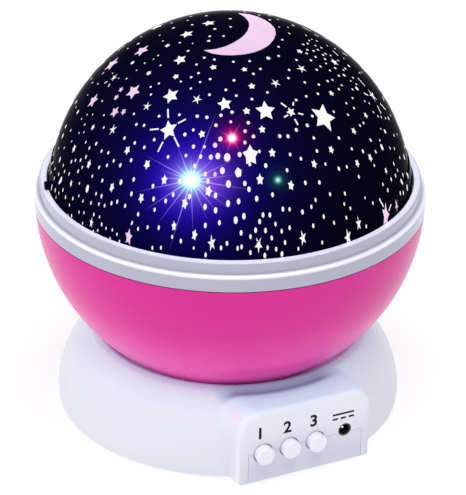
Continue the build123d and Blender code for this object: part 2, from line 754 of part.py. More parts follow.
with BuildPart() as idler_gear:
    add(spur_gear(idler_large_teeth, motor_module, motor_angle, (idler_x, idler_y),
                  large_wheel_z, large_wheel_thick, idler_axle_r + running_gap))
    add(spur_gear(idler_small_teeth, drive_module, idler_angle + 180 + 180 / idler_small_teeth,
                  (idler_x, idler_y), large_wheel_z + large_wheel_thick,
                  hub_gear_z + hub_gear_thick - large_wheel_z - large_wheel_thick,
                  idler_axle_r + running_gap))
save(idler_gear, "idler_gear")

# ---------------------------------------------------------------- turning hub
with BuildPart() as hub_gear:
    with BuildSketch(Plane.XZ):
        ring_section(collar_r + running_gap, washer_r, hub_foot_z + 0.05, hub_top_z)
        ring_section(collar_r + running_gap, neck_r, hub_gear_z, hub_top_z)
        ring_section(collar_r + running_gap, hub_spigot_r, hub_top_z, hub_top_z + bowl_floor_thick - 0.1)
    revolve(axis=Axis.Z)
    add(spur_gear(hub_teeth, drive_module, idler_angle, (0, 0), hub_gear_z, hub_gear_thick, neck_r - 1))
    with BuildSketch(Plane.XY.offset(hub_top_z)):
        with Locations(*[polar(bowl_screw_circle_r, angle) for angle in bowl_screw_angles]):
            Circle(screw_r)
    extrude(amount=-screw_bite, mode=Mode.SUBTRACT)
save(hub_gear, "hub_gear")

with BuildPart() as glide_washer:
    with BuildSketch(Plane.XZ):
        ring_section(collar_r + 0.1, washer_r, plate_top_z, hub_foot_z)
    revolve(axis=Axis.Z)
save(glide_washer, "glide_washer")

# ---------------------------------------------------------------- bowl, trim ring and star dome
with BuildPart() as bowl:
    with BuildSketch(Plane.XZ):
        sphere_slice(bowl_r, bowl_floor_z, bowl_mouth_z)
    revolve(axis=Axis.Z)
    with BuildSketch(Plane.XZ):
        sphere_slice(bowl_r - bowl_wall, bowl_floor_z + bowl_floor_thick, bowl_mouth_z + 1)
    revolve(axis=Axis.Z, mode=Mode.SUBTRACT)
    with BuildSketch(Plane.XY.offset(bowl_floor_z - 1)):
        Circle(hub_spigot_r + 0.1)
        with Locations(*[polar(bowl_screw_circle_r, angle) for angle in bowl_screw_angles]):
            Circle(screw_r + hole_gap)
    extrude(amount=bowl_floor_thick + 2, mode=Mode.SUBTRACT)
save(bowl, "bowl")

bowl_screws = screws([polar(bowl_screw_circle_r, angle) for angle in bowl_screw_angles],
                     bowl_floor_z + bowl_floor_thick, hub_top_z - screw_bite, screw_r, screw_head_r,
                     screw_head_thick)
save(bowl_screws, "bowl_screws")

with BuildPart() as trim_ring:
    with BuildSketch(Plane.XZ) as ring_profile:
        ring_section(ring_bore_r, bowl_r, bowl_mouth_z, centre_z + ring_step_bottom)
        ring_section(ring_bore_r, ring_lip_r, centre_z + ring_step_bottom, ring_top_z)
        # ledge for the dome, and the spigot that centres the ring in the bowl's mouth
        ring_section(ring_ledge_r, ring_bore_r, ring_ledge_top_z - ring_ledge_thick, ring_ledge_top_z)
        ring_section(ring_spigot_r - ring_spigot_wall, ring_spigot_r, bowl_mouth_z - ring_spigot_depth,
                     bowl_mouth_z)
        # shoulder between the two bands
        with BuildLine():
            Line((ring_lip_r, centre_z + ring_step_bottom), (ring_lip_r, centre_z + ring_step_top))
            Spline((ring_lip_r, centre_z + ring_step_top),
                   (bowl_r, centre_z + ring_step_bottom),
                   tangents=[(1, -0.1), (0, -1)])
            Line((bowl_r, centre_z + ring_step_bottom), (ring_lip_r, centre_z + ring_step_bottom))
        make_face()
        fillet(ring_profile.vertices().group_by(Axis.Y)[-1].sort_by(Axis.X)[-1], ring_lip_round)
        fillet(ring_profile.vertices().group_by(Axis.Y)[-1].sort_by(Axis.X)[0], 0.25)
        # thin parting groove over the bowl's edge
        corner = ring_profile.vertices().filter_by_position(Axis.Y, bowl_mouth_z - 0.01, bowl_mouth_z + 0.01)
        chamfer(corner.sort_by(Axis.X)[-1], ring_groove)
    revolve(axis=Axis.Z)
save(trim_ring, "trim_ring")

with BuildPart() as star_dome:
    with BuildSketch(Plane.XZ):
        sphere_slice(dome_r, dome_rim_z, centre_z + dome_r + 1)
    revolve(axis=Axis.Z)
    with BuildSketch(Plane.XZ):
        sphere_slice(dome_edge_r, dome_rim_z, centre_z + dome_band_top)
    revolve(axis=Axis.Z)
    # finger tab, resting over the ring
    with BuildSketch(Plane.XY.offset(ring_top_z + 0.2)):
        with Locations(Rotation(0, 0, tab_angle)):
            with Locations((dome_r - dome_wall, 0)):
                Rectangle(dome_wall + dome_band_step + tab_reach, tab_width, align=(Align.MIN, Align.CENTER))
    extrude(amount=tab_height)
    with BuildSketch(Plane.XZ):
        sphere_slice(dome_r - dome_wall, dome_rim_z - 1, centre_z + dome_r)
    revolve(axis=Axis.Z, mode=Mode.SUBTRACT)
save(star_dome, "star_dome")

# ---------------------------------------------------------------- lamps on their post
with BuildPart() as lamp_post:
    with BuildSketch(Plane.XZ):
        with BuildLine():
            Polyline((0, collar_top_z - post_spigot_depth),
                     (post_spigot_r, collar_top_z - post_spigot_depth),
                     (post_spigot_r, collar_top_z), (post_foot_r, collar_top_z),
                     (post_foot_r, collar_top_z + post_foot_thick),
                     (post_low_r, collar_top_z + post_foot_thick + 1),
                     (post_high_r, post_head_z - post_flare), (post_head_r, post_head_z),
                     (post_head_r, lamp_board_z), (0, lamp_board_z), close=True)
        make_face()
        with Locations((0, collar_top_z - post_spigot_depth - 1)):
            Rectangle(post_bore_r, lamp_board_z - collar_top_z + post_spigot_depth + 2,
                      align=(Align.MIN, Align.MIN), mode=Mode.SUBTRACT)
    revolve(axis=Axis.Z)
save(lamp_post, "lamp_post")

with BuildPart() as lamp_board:
    with BuildSketch(Plane.XY.offset(lamp_board_z)):
        Circle(lamp_board_r)
        with Locations(*wire_hole_places):
            Circle(wire_hole_r, mode=Mode.SUBTRACT)
    extrude(amount=board_thick)
save(lamp_board, "lamp_board")


def lamp(place, name):
    """A round 5 mm lamp with its rim, standing on the lamp board."""
    top_z = lamp_board_z + board_thick
    with BuildPart() as bulb:
        with BuildSketch(Plane.XZ):
            ring_section(0, lamp_rim_r, top_z, top_z + 1)
            ring_section(0, lamp_r, top_z, top_z + lamp_height - lamp_r)
            with Locations((0, top_z + lamp_height - lamp_r)):
                Circle(lamp_r)
            with Locations((0, top_z)):
                Rectangle(lamp_rim_r, lamp_height, align=(Align.MIN, Align.MIN), mode=Mode.INTERSECT)
        revolve(axis=Axis.Z)
    with BuildPart() as placed:
        add(Pos(place[0], place[1], 0) * bulb.part)
    save(placed, name)


lamp((0, 0), "lamp_warm")
for count, colour in enumerate(("red", "blue", "green")):
    lamp(polar(lamp_ring_r, lamp_first_angle + 120 * count), "lamp_" + colour)

# ---------------------------------------------------------------- control board, switches and jack
with BuildPart() as control_board:
    with BuildSketch(Plane.XZ.offset(-board_back_y)):
        with Locations((0, board_low_z)):
            Rectangle(board_width, board_high_z - board_low_z, align=(Align.CENTER, Align.MIN))
        with Locations(*[(x, board_screw_z) for x in board_screw_xs]):
            Circle(small_screw_r + small_hole_gap, mode=Mode.SUBTRACT)
    extrude(amount=board_thick)
save(control_board, "control_board")

with BuildPart() as board_screws:
    places = [(x, board_screw_z) for x in board_screw_xs]
    with BuildSketch(Plane.XZ.offset(-board_back_y)):
        with Locations(*places):
            Circle(small_screw_r)
    extrude(amount=board_thick + screw_bite)
    with BuildSketch(Plane.XZ.offset(-board_back_y)):
        with Locations(*places):
            Circle(small_screw_head_r)
    extrude(amount=-small_screw_head_thick)
save(board_screws, "board_screws")

with BuildPart() as tact_switches:
    with BuildSketch(Plane.XZ.offset(-board_front_y)):
        with Locations(*[(x, button_z) for x in button_xs]):
            Rectangle(switch_side, switch_side)
    extrude(amount=switch_depth)
    with BuildSketch(Plane.XZ.offset(-switch_front_y)):
        with Locations(*[(x, button_z) for x in button_xs]):
            Circle(plunger_r + running_gap)
    extrude(amount=-(plunger_depth + plunger_spare), mode=Mode.SUBTRACT)
save(tact_switches, "tact_switches")

for count, x in enumerate(button_xs):
    with BuildPart() as plunger:
        with BuildSketch(Plane.XZ.offset(-plunger_front_y)):
            with Locations((x, button_z)):
                Circle(plunger_r)
        extrude(amount=-(plunger_rise + plunger_depth))
    save(plunger, "switch_plunger_" + str(count + 1))
    with BuildPart() as button:
        flange_y = box_inner_y + 0.2
        # stem, flange and cap, from the switch outwards
        with BuildSketch(Plane.XZ.offset(-plunger_front_y)):
            with Locations((x, button_z)):
                Circle(button_stem_r)
        extrude(amount=plunger_front_y - flange_y - button_flange_thick)
        with BuildSketch(Plane.XZ.offset(-flange_y - button_flange_thick)):
            with Locations((x, button_z)):
                Circle(button_flange_r)
        extrude(amount=button_flange_thick)
        with BuildSketch(Plane.XZ.offset(-flange_y)):
            with Locations((x, button_z)):
                Circle(button_r)
        extrude(amount=flange_y - box_face_y + button_stand_out)
        front = button.faces().filter_by(Axis.Y).sort_by(Axis.Y)[0]
        fillet(front.edges(), button_edge_round)
    save(button, "button_" + str(count + 1))

with BuildPart() as dc_jack:
    with BuildSketch(Plane.XZ.offset(-board_front_y)):
        with Locations((jack_x, jack_z)):
            Rectangle(jack_side, jack_side)
    extrude(amount=board_front_y - box_inner_y - 0.1)
    # round nose that fills the hole in the face, and the bore for the plug
    with BuildSketch(Plane.XZ.offset(-jack_nose_y)):
        with Locations((jack_x, jack_z)):
            Circle(jack_hole_r - jack_nose_gap)
    extrude(amount=jack_nose_y - box_inner_y - 0.2)
    with BuildSketch(Plane.XZ.offset(-jack_nose_y)):
        with Locations((jack_x, jack_z)):
            Circle(jack_bore_r)
    extrude(amount=-jack_depth, mode=Mode.SUBTRACT)
save(dc_jack, "dc_jack")

with BuildPart() as jack_pin:
    with BuildSketch(Plane.XZ.offset(-jack_nose_y - jack_depth)):
        with Locations((jack_x, jack_z)):
            Circle(jack_pin_r)
    extrude(amount=jack_depth - jack_pin_set_in)
    fillet(jack_pin.faces().sort_by(Axis.Y)[0].edges(), 0.3)
save(jack_pin, "jack_pin")
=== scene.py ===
# %% [markdown]
# # A star night light
# A table lamp in three storeys: a white base with a control box, a glossy magenta bowl that turns
# on it, and a dark dome with clear windows in the shape of stars, dots and a moon.
# The solid model gives every part its true shape and place.  This lesson dresses it: finishes made
# of shader nodes, the printed windows of the dome, the light behind it and the marks on the box.
# Everything is in metres, with the turning axis on Z and the control box facing -Y.

# %% Load the solid model
import json
import math
import random

import bmesh
import bpy
from mathutils import Matrix, Vector


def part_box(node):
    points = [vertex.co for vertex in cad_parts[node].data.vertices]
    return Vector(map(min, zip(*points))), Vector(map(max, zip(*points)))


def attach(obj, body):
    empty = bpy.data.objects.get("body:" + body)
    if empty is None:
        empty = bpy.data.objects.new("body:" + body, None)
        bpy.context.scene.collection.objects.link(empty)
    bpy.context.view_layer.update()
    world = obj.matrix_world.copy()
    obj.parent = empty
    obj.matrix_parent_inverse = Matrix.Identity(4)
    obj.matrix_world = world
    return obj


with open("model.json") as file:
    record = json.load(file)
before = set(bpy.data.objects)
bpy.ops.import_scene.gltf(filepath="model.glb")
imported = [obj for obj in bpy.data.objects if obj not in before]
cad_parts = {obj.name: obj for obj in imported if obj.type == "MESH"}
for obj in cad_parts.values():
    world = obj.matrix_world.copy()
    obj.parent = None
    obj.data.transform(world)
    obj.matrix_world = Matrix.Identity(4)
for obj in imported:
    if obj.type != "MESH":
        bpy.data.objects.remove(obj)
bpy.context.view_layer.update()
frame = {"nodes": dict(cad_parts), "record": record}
MM = 0.001

# %% [markdown]
# ## The camera
# A short lens close by would swell the dome and shrink the base.  A long lens a little under a
# metre away keeps the round forms calm, with hardly any perspective.  It looks down by 27 degrees,
# enough to see the moon on top and the buttons in front.

# %% Camera
VIEW_WIDTH, VIEW_HEIGHT = 466, 495
FOCAL_IN_DOTS = 2648.0
SENSOR = 36.0
ROLL = math.radians(0.69)
eye = Vector((-344.96, -721.61, 479.65)) * MM
target = Vector((1.09, -0.52, 55.45)) * MM


def put_in_scene(name, data):
    """A new object of the scene, at the origin."""
    thing = bpy.data.objects.new(name, data)
    bpy.context.scene.collection.objects.link(thing)
    return thing


camera_data = bpy.data.cameras.new("camera")
camera_data.sensor_fit = "AUTO"
camera_data.sensor_width = SENSOR
camera_data.lens = FOCAL_IN_DOTS * SENSOR / VIEW_HEIGHT
camera_data.clip_start = 50 * MM
camera = put_in_scene("camera", camera_data)
turn = (target - eye).to_track_quat("-Z", "Y").to_matrix() @ Matrix.Rotation(ROLL, 3, "Z")
camera.matrix_world = Matrix.Translation(eye) @ turn.to_4x4()
bpy.context.scene.camera = camera
view_right, view_up, view_back = (Vector(column) for column in turn.col)
print("lens", round(camera_data.lens, 1), "mm, distance", round((target - eye).length, 3), "m")

# %% [markdown]
# ## Floor and light
# White plastic looks white only against something as bright, so floor, sky and lamps are pale.
# A broad lamp overhead gives the upper edges of the ring their bright lines, and highlights
# painted on the ring make them brighter.  Two weaker ones, in front and behind on the left,
# brighten the base.  They stay out of the reflections, because their squares would show in the
# glossy dome.

# %% Floor and lights
FLOOR_HALF = 6.0
floor_form = bmesh.new()
bmesh.ops.create_grid(floor_form, x_segments=2, y_segments=2, size=FLOOR_HALF)
floor_mesh = bpy.data.meshes.new("floor")
floor_form.to_mesh(floor_mesh)
floor_form.free()
floor = put_in_scene("floor", floor_mesh)


def soft_lamp(name, place, aim, size, power, colour=(1.0, 1.0, 1.0), in_gloss=False):
    """A square area lamp that looks at a point of the object; size in metres, power in watts."""
    data = bpy.data.lights.new(name, "AREA")
    data.shape = "SQUARE"
    data.size = size
    data.energy = power
    data.color = colour
    lamp = put_in_scene(name, data)
    lamp.location = place
    lamp.rotation_euler = (Vector(aim) - Vector(place)).to_track_quat("-Z", "Y").to_euler()
    lamp.visible_glossy = in_gloss


soft_lamp("overhead", (0.0, -0.25, 1.5), (0, 0, 0.05), 1.2, 18.0, in_gloss=True)
soft_lamp("front", (-1.3, -0.8, 0.6), (0, 0, 0.05), 0.9, 4.3, (0.96, 0.98, 1.0))
soft_lamp("behind_left", (-0.9, 0.55, 0.45), (0, 0, 0.03), 0.5, 2.0, (0.96, 0.99, 1.0))

world = bpy.data.worlds.new("studio")
world.use_nodes = True
sky = world.node_tree.nodes["Background"]
sky.inputs["Color"].default_value = (0.92, 0.95, 1.0, 1.0)
sky.inputs["Strength"].default_value = 0.55
bpy.context.scene.world = world
bpy.context.scene.view_settings.view_transform = "Standard"
print("floor", 2 * FLOOR_HALF, "m wide,", len(bpy.data.lights), "soft lamps")

# %% [markdown]
# ## Writing finishes as sums
# A finish is easier to read as arithmetic than as a web of nodes.  `Wire` is the end of a wire in
# the shader: adding or multiplying wires adds the Math nodes.  `Finish` is one material, with one
# method for every other node.

# %% Wires
class Wire:
    """The output of a node; + - * / and ** on it add Math nodes."""

    def __init__(self, finish, socket):
        self.finish = finish
        self.socket = socket

    def sum_of(self, operation, *values, clamp=False):
        settings = {"operation": operation, "use_clamp": clamp}
        return self.finish.node("ShaderNodeMath", settings, dict(enumerate(values)))

    def __add__(self, other):
        return self.sum_of("ADD", self, other)

    __radd__ = __add__

    def __sub__(self, other):
        return self.sum_of("SUBTRACT", self, other)

    def __rsub__(self, other):
        return self.sum_of("SUBTRACT", other, self)

    def __mul__(self, other):
        return self.sum_of("MULTIPLY", self, other)

    __rmul__ = __mul__

    def __truediv__(self, other):
        return self.sum_of("DIVIDE", self, other)

    def __rtruediv__(self, other):
        return self.sum_of("DIVIDE", other, self)

    def __pow__(self, other):
        return self.sum_of("POWER", self, other)

    def __rpow__(self, other):
        return self.sum_of("POWER", other, self)

    def __abs__(self):
        return self.sum_of("ABSOLUTE", self)

    def above(self, edge):
        return self.sum_of("GREATER_THAN", self, edge)

    def kept(self):
        """The same value, kept between 0 and 1."""
        return self.sum_of("ADD", self, 0.0, clamp=True)

    def vector_sum(self, operation, vector):
        """A number worked out from this place and a fixed direction or place."""
        return self.finish.node("ShaderNodeVectorMath", {"operation": operation},
                                {0: self, 1: tuple(vector)}, "Value")

    def dot(self, direction):
        """How far this place lies along a fixed direction."""
        return self.vector_sum("DOT_PRODUCT", direction)


# %% Finishes
class Finish:
    """One material of shader nodes."""

    made = {}

    def __init__(self, name, colour, roughness, **fixed):
        Finish.made[name] = self
        self.material = bpy.data.materials.new(name)
        self.material.use_nodes = True
        self.material.diffuse_color = (*colour, 1.0)
        self.nodes = self.material.node_tree.nodes
        self.shader = self.nodes["Principled BSDF"]
        self.feed("Base Color", (*colour, 1.0))
        self.feed("Roughness", roughness)
        for socket, value in fixed.items():
            self.feed(socket.replace("_", " "), value)

    def join(self, value, socket):
        """Link a wire to a socket, or set a plain number or colour on it."""
        if isinstance(value, Wire):
            self.material.node_tree.links.new(value.socket, socket)
        else:
            socket.default_value = value

    def feed(self, socket, value):
        self.join(value, self.shader.inputs[socket])

    def node(self, kind, settings, values, output=0):
        node = self.nodes.new(kind)
        for name, value in settings.items():
            setattr(node, name, value)
        for name, value in values.items():
            self.join(value, node.inputs[name])
        return Wire(self, node.outputs[output])

    def place(self):
        """The place on the object, in metres."""
        return self.node("ShaderNodeTexCoord", {}, {}, "Object")

    def noise(self, scale, detail=2.0, roughness=0.5, where=None):
        """A cloudy value between 0 and 1; scale is how many clouds fit into a metre."""
        return self.node("ShaderNodeTexNoise", {},
                         {"Vector": where or self.place(), "Scale": scale, "Detail": detail,
                          "Roughness": roughness}, "Fac")

    def mix(self, amount, first, second, blend="MIX"):
        """A colour between two colours, or with ADD the first and a share of the second."""
        factor, colour_a, colour_b, result = 0, 6, 7, 2
        return self.node("ShaderNodeMix", {"data_type": "RGBA", "blend_type": blend},
                         {factor: amount, colour_a: first, colour_b: second}, result)

    def bump(self, height):
        """Relief; height in metres."""
        self.feed("Normal", self.node("ShaderNodeBump", {},
                                      {"Height": height, "Distance": 1.0, "Strength": 1.0},
                                      "Normal"))


def shade(colour, factor):
    """The same colour, lighter or darker."""
    return tuple(min(1.0, max(0.0, part * factor)) for part in colour) + (1.0,)


# %% [markdown]
# ## Floor paint
# A white floor that is lit by lamps alone comes out grey round a white object.  This one is matt
# and glows a little, so that it stays pale everywhere and still takes the lamp's soft shadow.

# %% Floor paint
floor_paint = Finish("floor_paint", (0.30, 0.30, 0.30), 0.85, Emission_Strength=0.70,
                     Emission_Color=(1, 1, 1, 1), Specular_IOR_Level=0.0)
floor.data.materials.append(floor_paint.material)
print("floor paint has", len(floor_paint.nodes), "nodes")

# %% [markdown]
# ## Moulded plastic
# Most of the lamp is injection-moulded plastic.  A gloss moulding isn't perfectly smooth: it has a
# slow waviness from cooling, a very fine skin, faint cloudy places in its colour and a few
# rubbed spots where hands and tables touch it.  One function with an amount for each of these
# makes them all, so the white shell and the black jack differ only in numbers.

# %% Moulded plastic
def moulded(name, colour, roughness, wave=0.05, skin=0.002, cloud=0.03, rub=0.10, coat=0.0,
            **fixed):
    """Injection-moulded plastic; wave and skin are depths in millimetres."""
    finish = Finish(name, colour, roughness, Coat_Weight=coat, Coat_Roughness=0.06, **fixed)
    clouds = finish.noise(28.0, detail=3.0)
    finish.feed("Base Color",
                finish.mix(clouds, shade(colour, 1 - cloud), shade(colour, 1 + cloud)))
    rubbed = finish.noise(75.0, detail=5.0, roughness=0.62)
    finish.feed("Roughness", (roughness + (rubbed - 0.5) * rub).kept())
    slow = finish.noise(45.0, detail=1.0)
    fine = finish.noise(2600.0)
    finish.bump(slow * (wave * MM) + fine * (skin * MM))
    return finish


white_shell = moulded("white_shell", (0.805, 0.82, 0.90), 0.34, coat=0.04, Specular_IOR_Level=0.3)
white_cover = moulded("white_cover", (0.64, 0.65, 0.76), 0.32, skin=0.006)
pale_ring = moulded("pale_ring", (0.41, 0.41, 0.51), 0.22, wave=0.03, coat=0.4,
                    Specular_IOR_Level=0.9)
pink_bowl = moulded("pink_bowl", (0.69, 0.016, 0.285), 0.26, wave=0.06, Specular_IOR_Level=0.28)
moulded("white_button", (0.84, 0.84, 0.92), 0.20, wave=0.01, coat=0.2)
moulded("plate_plastic", (0.74, 0.75, 0.78), 0.38, skin=0.008)
moulded("gear_plastic", (0.86, 0.85, 0.80), 0.34, skin=0.004)
moulded("washer_plastic", (0.90, 0.90, 0.88), 0.42, skin=0.004)
moulded("post_plastic", (0.78, 0.79, 0.82), 0.36, skin=0.006)
moulded("jack_black", (0.012, 0.012, 0.014), 0.32, skin=0.004, cloud=0.2)
moulded("switch_black", (0.02, 0.02, 0.022), 0.40, skin=0.004, cloud=0.2)
moulded("foot_rubber", (0.62, 0.63, 0.66), 0.72, wave=0.02, skin=0.015, rub=0.2)
print("finishes so far:", ", ".join(Finish.made))

# %% [markdown]
# ## Painted light and shade on the white shell
# The white shell's colour has light and shade painted into it.  The top of the control box gets
# painted cool light from the dome, the dish gets painted shade and a warmer painted glow, the
# parts near the table get painted shade, and a painted shadow darkens the fold where the box
# meets the rim of the dish.  Real lamps inside would take long to render and reach those places
# weakly, so each zone is written as a product of ramps, each along one direction.

# %% Zones
def directions(finish):
    """Three wires: across the lamp, from front to back, and up."""
    spot = finish.place()
    return spot.dot((1, 0, 0)), spot.dot((0, 1, 0)), spot.dot((0, 0, 1))


def distance(across, deep):
    """The distance from the turning axis."""
    return (across * across + deep * deep) ** 0.5


def between(wire, start, full):
    """0 up to the start, 1 from full on, in millimetres; start may be above or below full."""
    return ((wire / MM - start) / (full - start)).kept()


def zone(first, *others):
    """1 inside a zone and 0 outside; each ramp is a wire with its start and its full place."""
    inside = between(*first)
    for ramp in others:
        inside = inside * between(*ramp)
    return inside


def tint(finish, amount, colour, socket="Base Color"):
    """Lay another colour over the one that a finish already has."""
    plain = Wire(finish, finish.shader.inputs[socket].links[0].from_socket)
    finish.feed(socket, finish.mix(amount, plain, (*colour, 1)))


# each ramp names a wire, then the place where it starts and the place where it is full
FOLD_X = -4 * MM
across, deep, high = directions(white_shell)
from_axis = distance(across, deep)
from_middle = abs(across)
from_fold = abs(across - FOLD_X)
box_top = zone((high, 24.3, 26.5), (deep, -59.9, -58.7), (deep, -38, -44), (from_middle, 27, 23))
in_dish = zone((from_axis, 48, 46), (high, 14, 18))
low_face_shade = zone((deep, -59.0, -59.8), (high, 20, 7))
flank_shade = zone((high, 21, 11), (deep, -58.0, -56.5))
behind_box = zone((from_fold, 22, 15), (deep, -30, -36))
fold = behind_box * zone((from_axis, 44.0, 49.0), (from_axis, 51.6, 49.4), (high, 20, 24))
near_bowl = zone((from_axis, 58, 50), (high, 14, 24))
print("the shell's zones take", len(white_shell.nodes), "nodes")

# %% Painted light and shade on the white shell
# painted light and shade: a cool cast on the box top, painted shade in the dish, darker towards
# the table on the face and the flank, and a painted shadow in the fold
tint(white_shell, box_top, (0.66, 0.90, 0.97))
tint(white_shell, in_dish, (0.50, 0.62, 0.78))
tint(white_shell, low_face_shade, (0.70, 0.70, 0.80))
tint(white_shell, flank_shade, (0.75, 0.75, 0.83))
tint(white_shell, fold, (0.31, 0.385, 0.56))

# painted glow: the shell itself gives off the light that leaks down round the bowl from the lamps,
# cool on the box and warmer in the dish
BLACK = (0, 0, 0, 1)
LEAK_COLOUR = (0.05, 0.16, 0.17, 1)
DISH_GLOW_COLOUR = (0.12, 0.085, 0.13, 1)
LEAK_ON_BOX, LEAK_NEAR_BOWL = 0.65, 0.75
FOLD_SHADOW, BOX_SHADOW = 0.8, 0.6
leak = (box_top * LEAK_ON_BOX + near_bowl * LEAK_NEAR_BOWL).kept()
leak = leak * (1.0 - in_dish) * (1.0 - fold * FOLD_SHADOW)
dish_light = in_dish * (1.0 - behind_box * BOX_SHADOW)
leaking = white_shell.mix(leak, BLACK, LEAK_COLOUR)
white_shell.feed("Emission Color", white_shell.mix(dish_light, leaking, DISH_GLOW_COLOUR))
white_shell.feed("Emission Strength", 1.0)
print("white shell has", len(white_shell.nodes), "nodes")

# %% [markdown]
# ## Painted shade and highlights on panel, ring and bowl
# The panel under the buttons has painted shade that darkens it towards the table.  The ring has
# painted highlights on its rounded step and its lip, where the overhead lamp catches it, and a
# painted shadow line just above the bowl's mouth.  The bowl is painted paler towards its foot, as
# painted light thrown back on it from the white base.

# %% Painted shade and highlights on panel, ring and bowl
PANEL_SHADE = (5, 14)
FOOT_BOUNCE_LIGHT = (56, 40)
MOUTH_SHADOW = (0.45, 0.25)
panel_high = directions(white_cover)[2]
# painted shade: the panel is darker towards the table
tint(white_cover, between(panel_high, *PANEL_SHADE), (0.74, 0.75, 0.84))

across, deep, high = directions(pale_ring)
# painted highlights on the ring's rounded step and its lip
step_highlight = zone((high, 78.6, 79.1), (high, 79.9, 79.6))
lip_highlight = zone((high, 83.2, 83.6), (distance(across, deep), 64.1, 63.5))
tint(pale_ring, (step_highlight + lip_highlight).kept(), (0.80, 0.81, 0.96))
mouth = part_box("bowl")[1].z / MM
shadow_start, shadow_full = (mouth + above for above in MOUTH_SHADOW)
# painted shadow: a dark line on the ring just above the bowl's mouth
tint(pale_ring, between(high, shadow_start, shadow_full), (0.10, 0.02, 0.09))

bowl_high = directions(pink_bowl)[2]
# painted light: the bowl is paler towards its foot, as light thrown back from the white base
tint(pink_bowl, between(bowl_high, *FOOT_BOUNCE_LIGHT), (0.80, 0.045, 0.38))
print("the bowl's mouth is", round(mouth, 1), "mm above the table")

# %% [markdown]
# ## Metals, boards and cells
# Screws, contacts and the motor's can are plated sheet or turned rod: fine parallel scratches from
# the tool, and slightly uneven plating.  Noise that is stretched along one direction gives the
# scratches.  The boards are glass cloth under lacquer, so a faint weave shows through.

# %% Metals
def plated(name, colour, roughness, stretch=(900.0, 900.0, 60.0)):
    """Plated or turned metal with tool marks drawn out along one direction."""
    finish = Finish(name, colour, roughness, Metallic=1.0)
    drawn_out = finish.node("ShaderNodeMapping", {},
                            {"Vector": finish.place(), "Scale": stretch})
    marks = finish.noise(1.0, detail=3.0, roughness=0.6, where=drawn_out)
    stain = finish.noise(140.0, detail=4.0)
    finish.feed("Base Color", finish.mix(stain, shade(colour, 0.86), shade(colour, 1.06)))
    finish.feed("Roughness", (roughness + (stain - 0.5) * 0.25).kept())
    finish.bump(marks * (0.004 * MM))


plated("zinc_screw", (0.72, 0.73, 0.75), 0.28)
plated("steel_axle", (0.60, 0.60, 0.62), 0.20)
plated("motor_can", (0.66, 0.66, 0.68), 0.32, (120.0, 120.0, 1400.0))
plated("contact_metal", (0.80, 0.80, 0.80), 0.22, (60.0, 1400.0, 900.0))
plated("pinion_brass", (0.80, 0.60, 0.28), 0.26)
print(len(Finish.made), "finishes so far")

# %% Boards and cells
def board(name, colour, roughness):
    """Lacquered circuit board: a woven cloth just under the gloss."""
    finish = Finish(name, colour, roughness, Coat_Weight=0.3, Coat_Roughness=0.12)
    warp, weft = (finish.node("ShaderNodeTexWave", {"bands_direction": direction},
                              {"Vector": finish.place(), "Scale": 320.0, "Distortion": 0.6}, "Fac")
                  for direction in "XZ")
    cloth = warp * weft
    finish.feed("Base Color", finish.mix(cloth, shade(colour, 0.88), shade(colour, 1.10)))
    finish.feed("Roughness", roughness + finish.noise(90.0, detail=3.0) * 0.12)
    finish.bump(cloth * (0.006 * MM))


board("green_board", (0.02, 0.17, 0.07), 0.34)
board("white_board", (0.80, 0.81, 0.80), 0.36)

cell_wrap = Finish("cell_wrap", (0.05, 0.05, 0.06), 0.30, Coat_Weight=0.4)
shrink = cell_wrap.noise(60.0)
cell_wrap.feed("Base Color",
               cell_wrap.mix(shrink, (0.035, 0.035, 0.045, 1), (0.075, 0.075, 0.09, 1)))
cell_wrap.feed("Roughness", 0.24 + cell_wrap.noise(220.0, detail=4.0) * 0.16)
cell_wrap.bump(cell_wrap.noise(300.0) * (0.02 * MM))
print(len(Finish.made), "finishes so far")

# %% [markdown]
# ## Lamps
# Four small round lamps stand on the board inside.  Each is a clear or tinted lens, lit from
# inside.  The lens itself gives off the light here, a little unevenly, as cast resin does.

# %% Lamps
def lamp_lens(name, colour, light, strength=3.0):
    finish = Finish(name, colour, 0.12, Emission_Strength=strength, Coat_Weight=0.5)
    streaks = finish.noise(700.0)
    finish.feed("Base Color", finish.mix(streaks, shade(colour, 0.9), shade(colour, 1.05)))
    finish.feed("Emission Color", finish.mix(streaks, shade(light, 0.75), shade(light, 1.1)))
    finish.bump(streaks * (0.01 * MM))


lamp_lens("lamp_clear", (0.85, 0.84, 0.80), (1.0, 0.86, 0.62))
lamp_lens("lamp_red_lens", (0.80, 0.10, 0.08), (1.0, 0.06, 0.04))
lamp_lens("lamp_blue_lens", (0.12, 0.16, 0.85), (0.12, 0.22, 1.0), strength=4.0)
lamp_lens("lamp_green_lens", (0.08, 0.70, 0.20), (0.10, 1.0, 0.25))
print(len(Finish.made), "finishes so far")

# %% [markdown]
# ## Where things lie on the dome
# A printed sky has no rule to its windows, so they are placed as they are seen: a place in the
# camera's frame is followed along its ray until it meets the dome.  Whatever is put there sits on
# the dome, seen from any side.

# %% Places on the dome
DOME_CENTRE = Vector((0, 0, 77.0)) * MM
DOME_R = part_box("star_dome")[1].z - DOME_CENTRE.z
BAND_TOP = 12.4 * MM
BAND_STEP = 0.45 * MM
BAND_SLOPE = 1.5 * MM
LIFT = 0.05 * MM
print("dome radius", round(DOME_R / MM, 2), "mm")


def on_dome(x, y):
    """The place on the dome that is seen at x, y in the camera's frame."""
    ray = (view_right * (x - VIEW_WIDTH / 2) - view_up * (y - VIEW_HEIGHT / 2)
           - view_back * FOCAL_IN_DOTS).normalized()
    to_centre = DOME_CENTRE - eye
    along = to_centre.dot(ray)
    miss = to_centre.length_squared - along * along
    depth = math.sqrt(max(0.0, DOME_R * DOME_R - miss))
    return DOME_CENTRE + (eye + ray * (along - depth) - DOME_CENTRE).normalized() * DOME_R


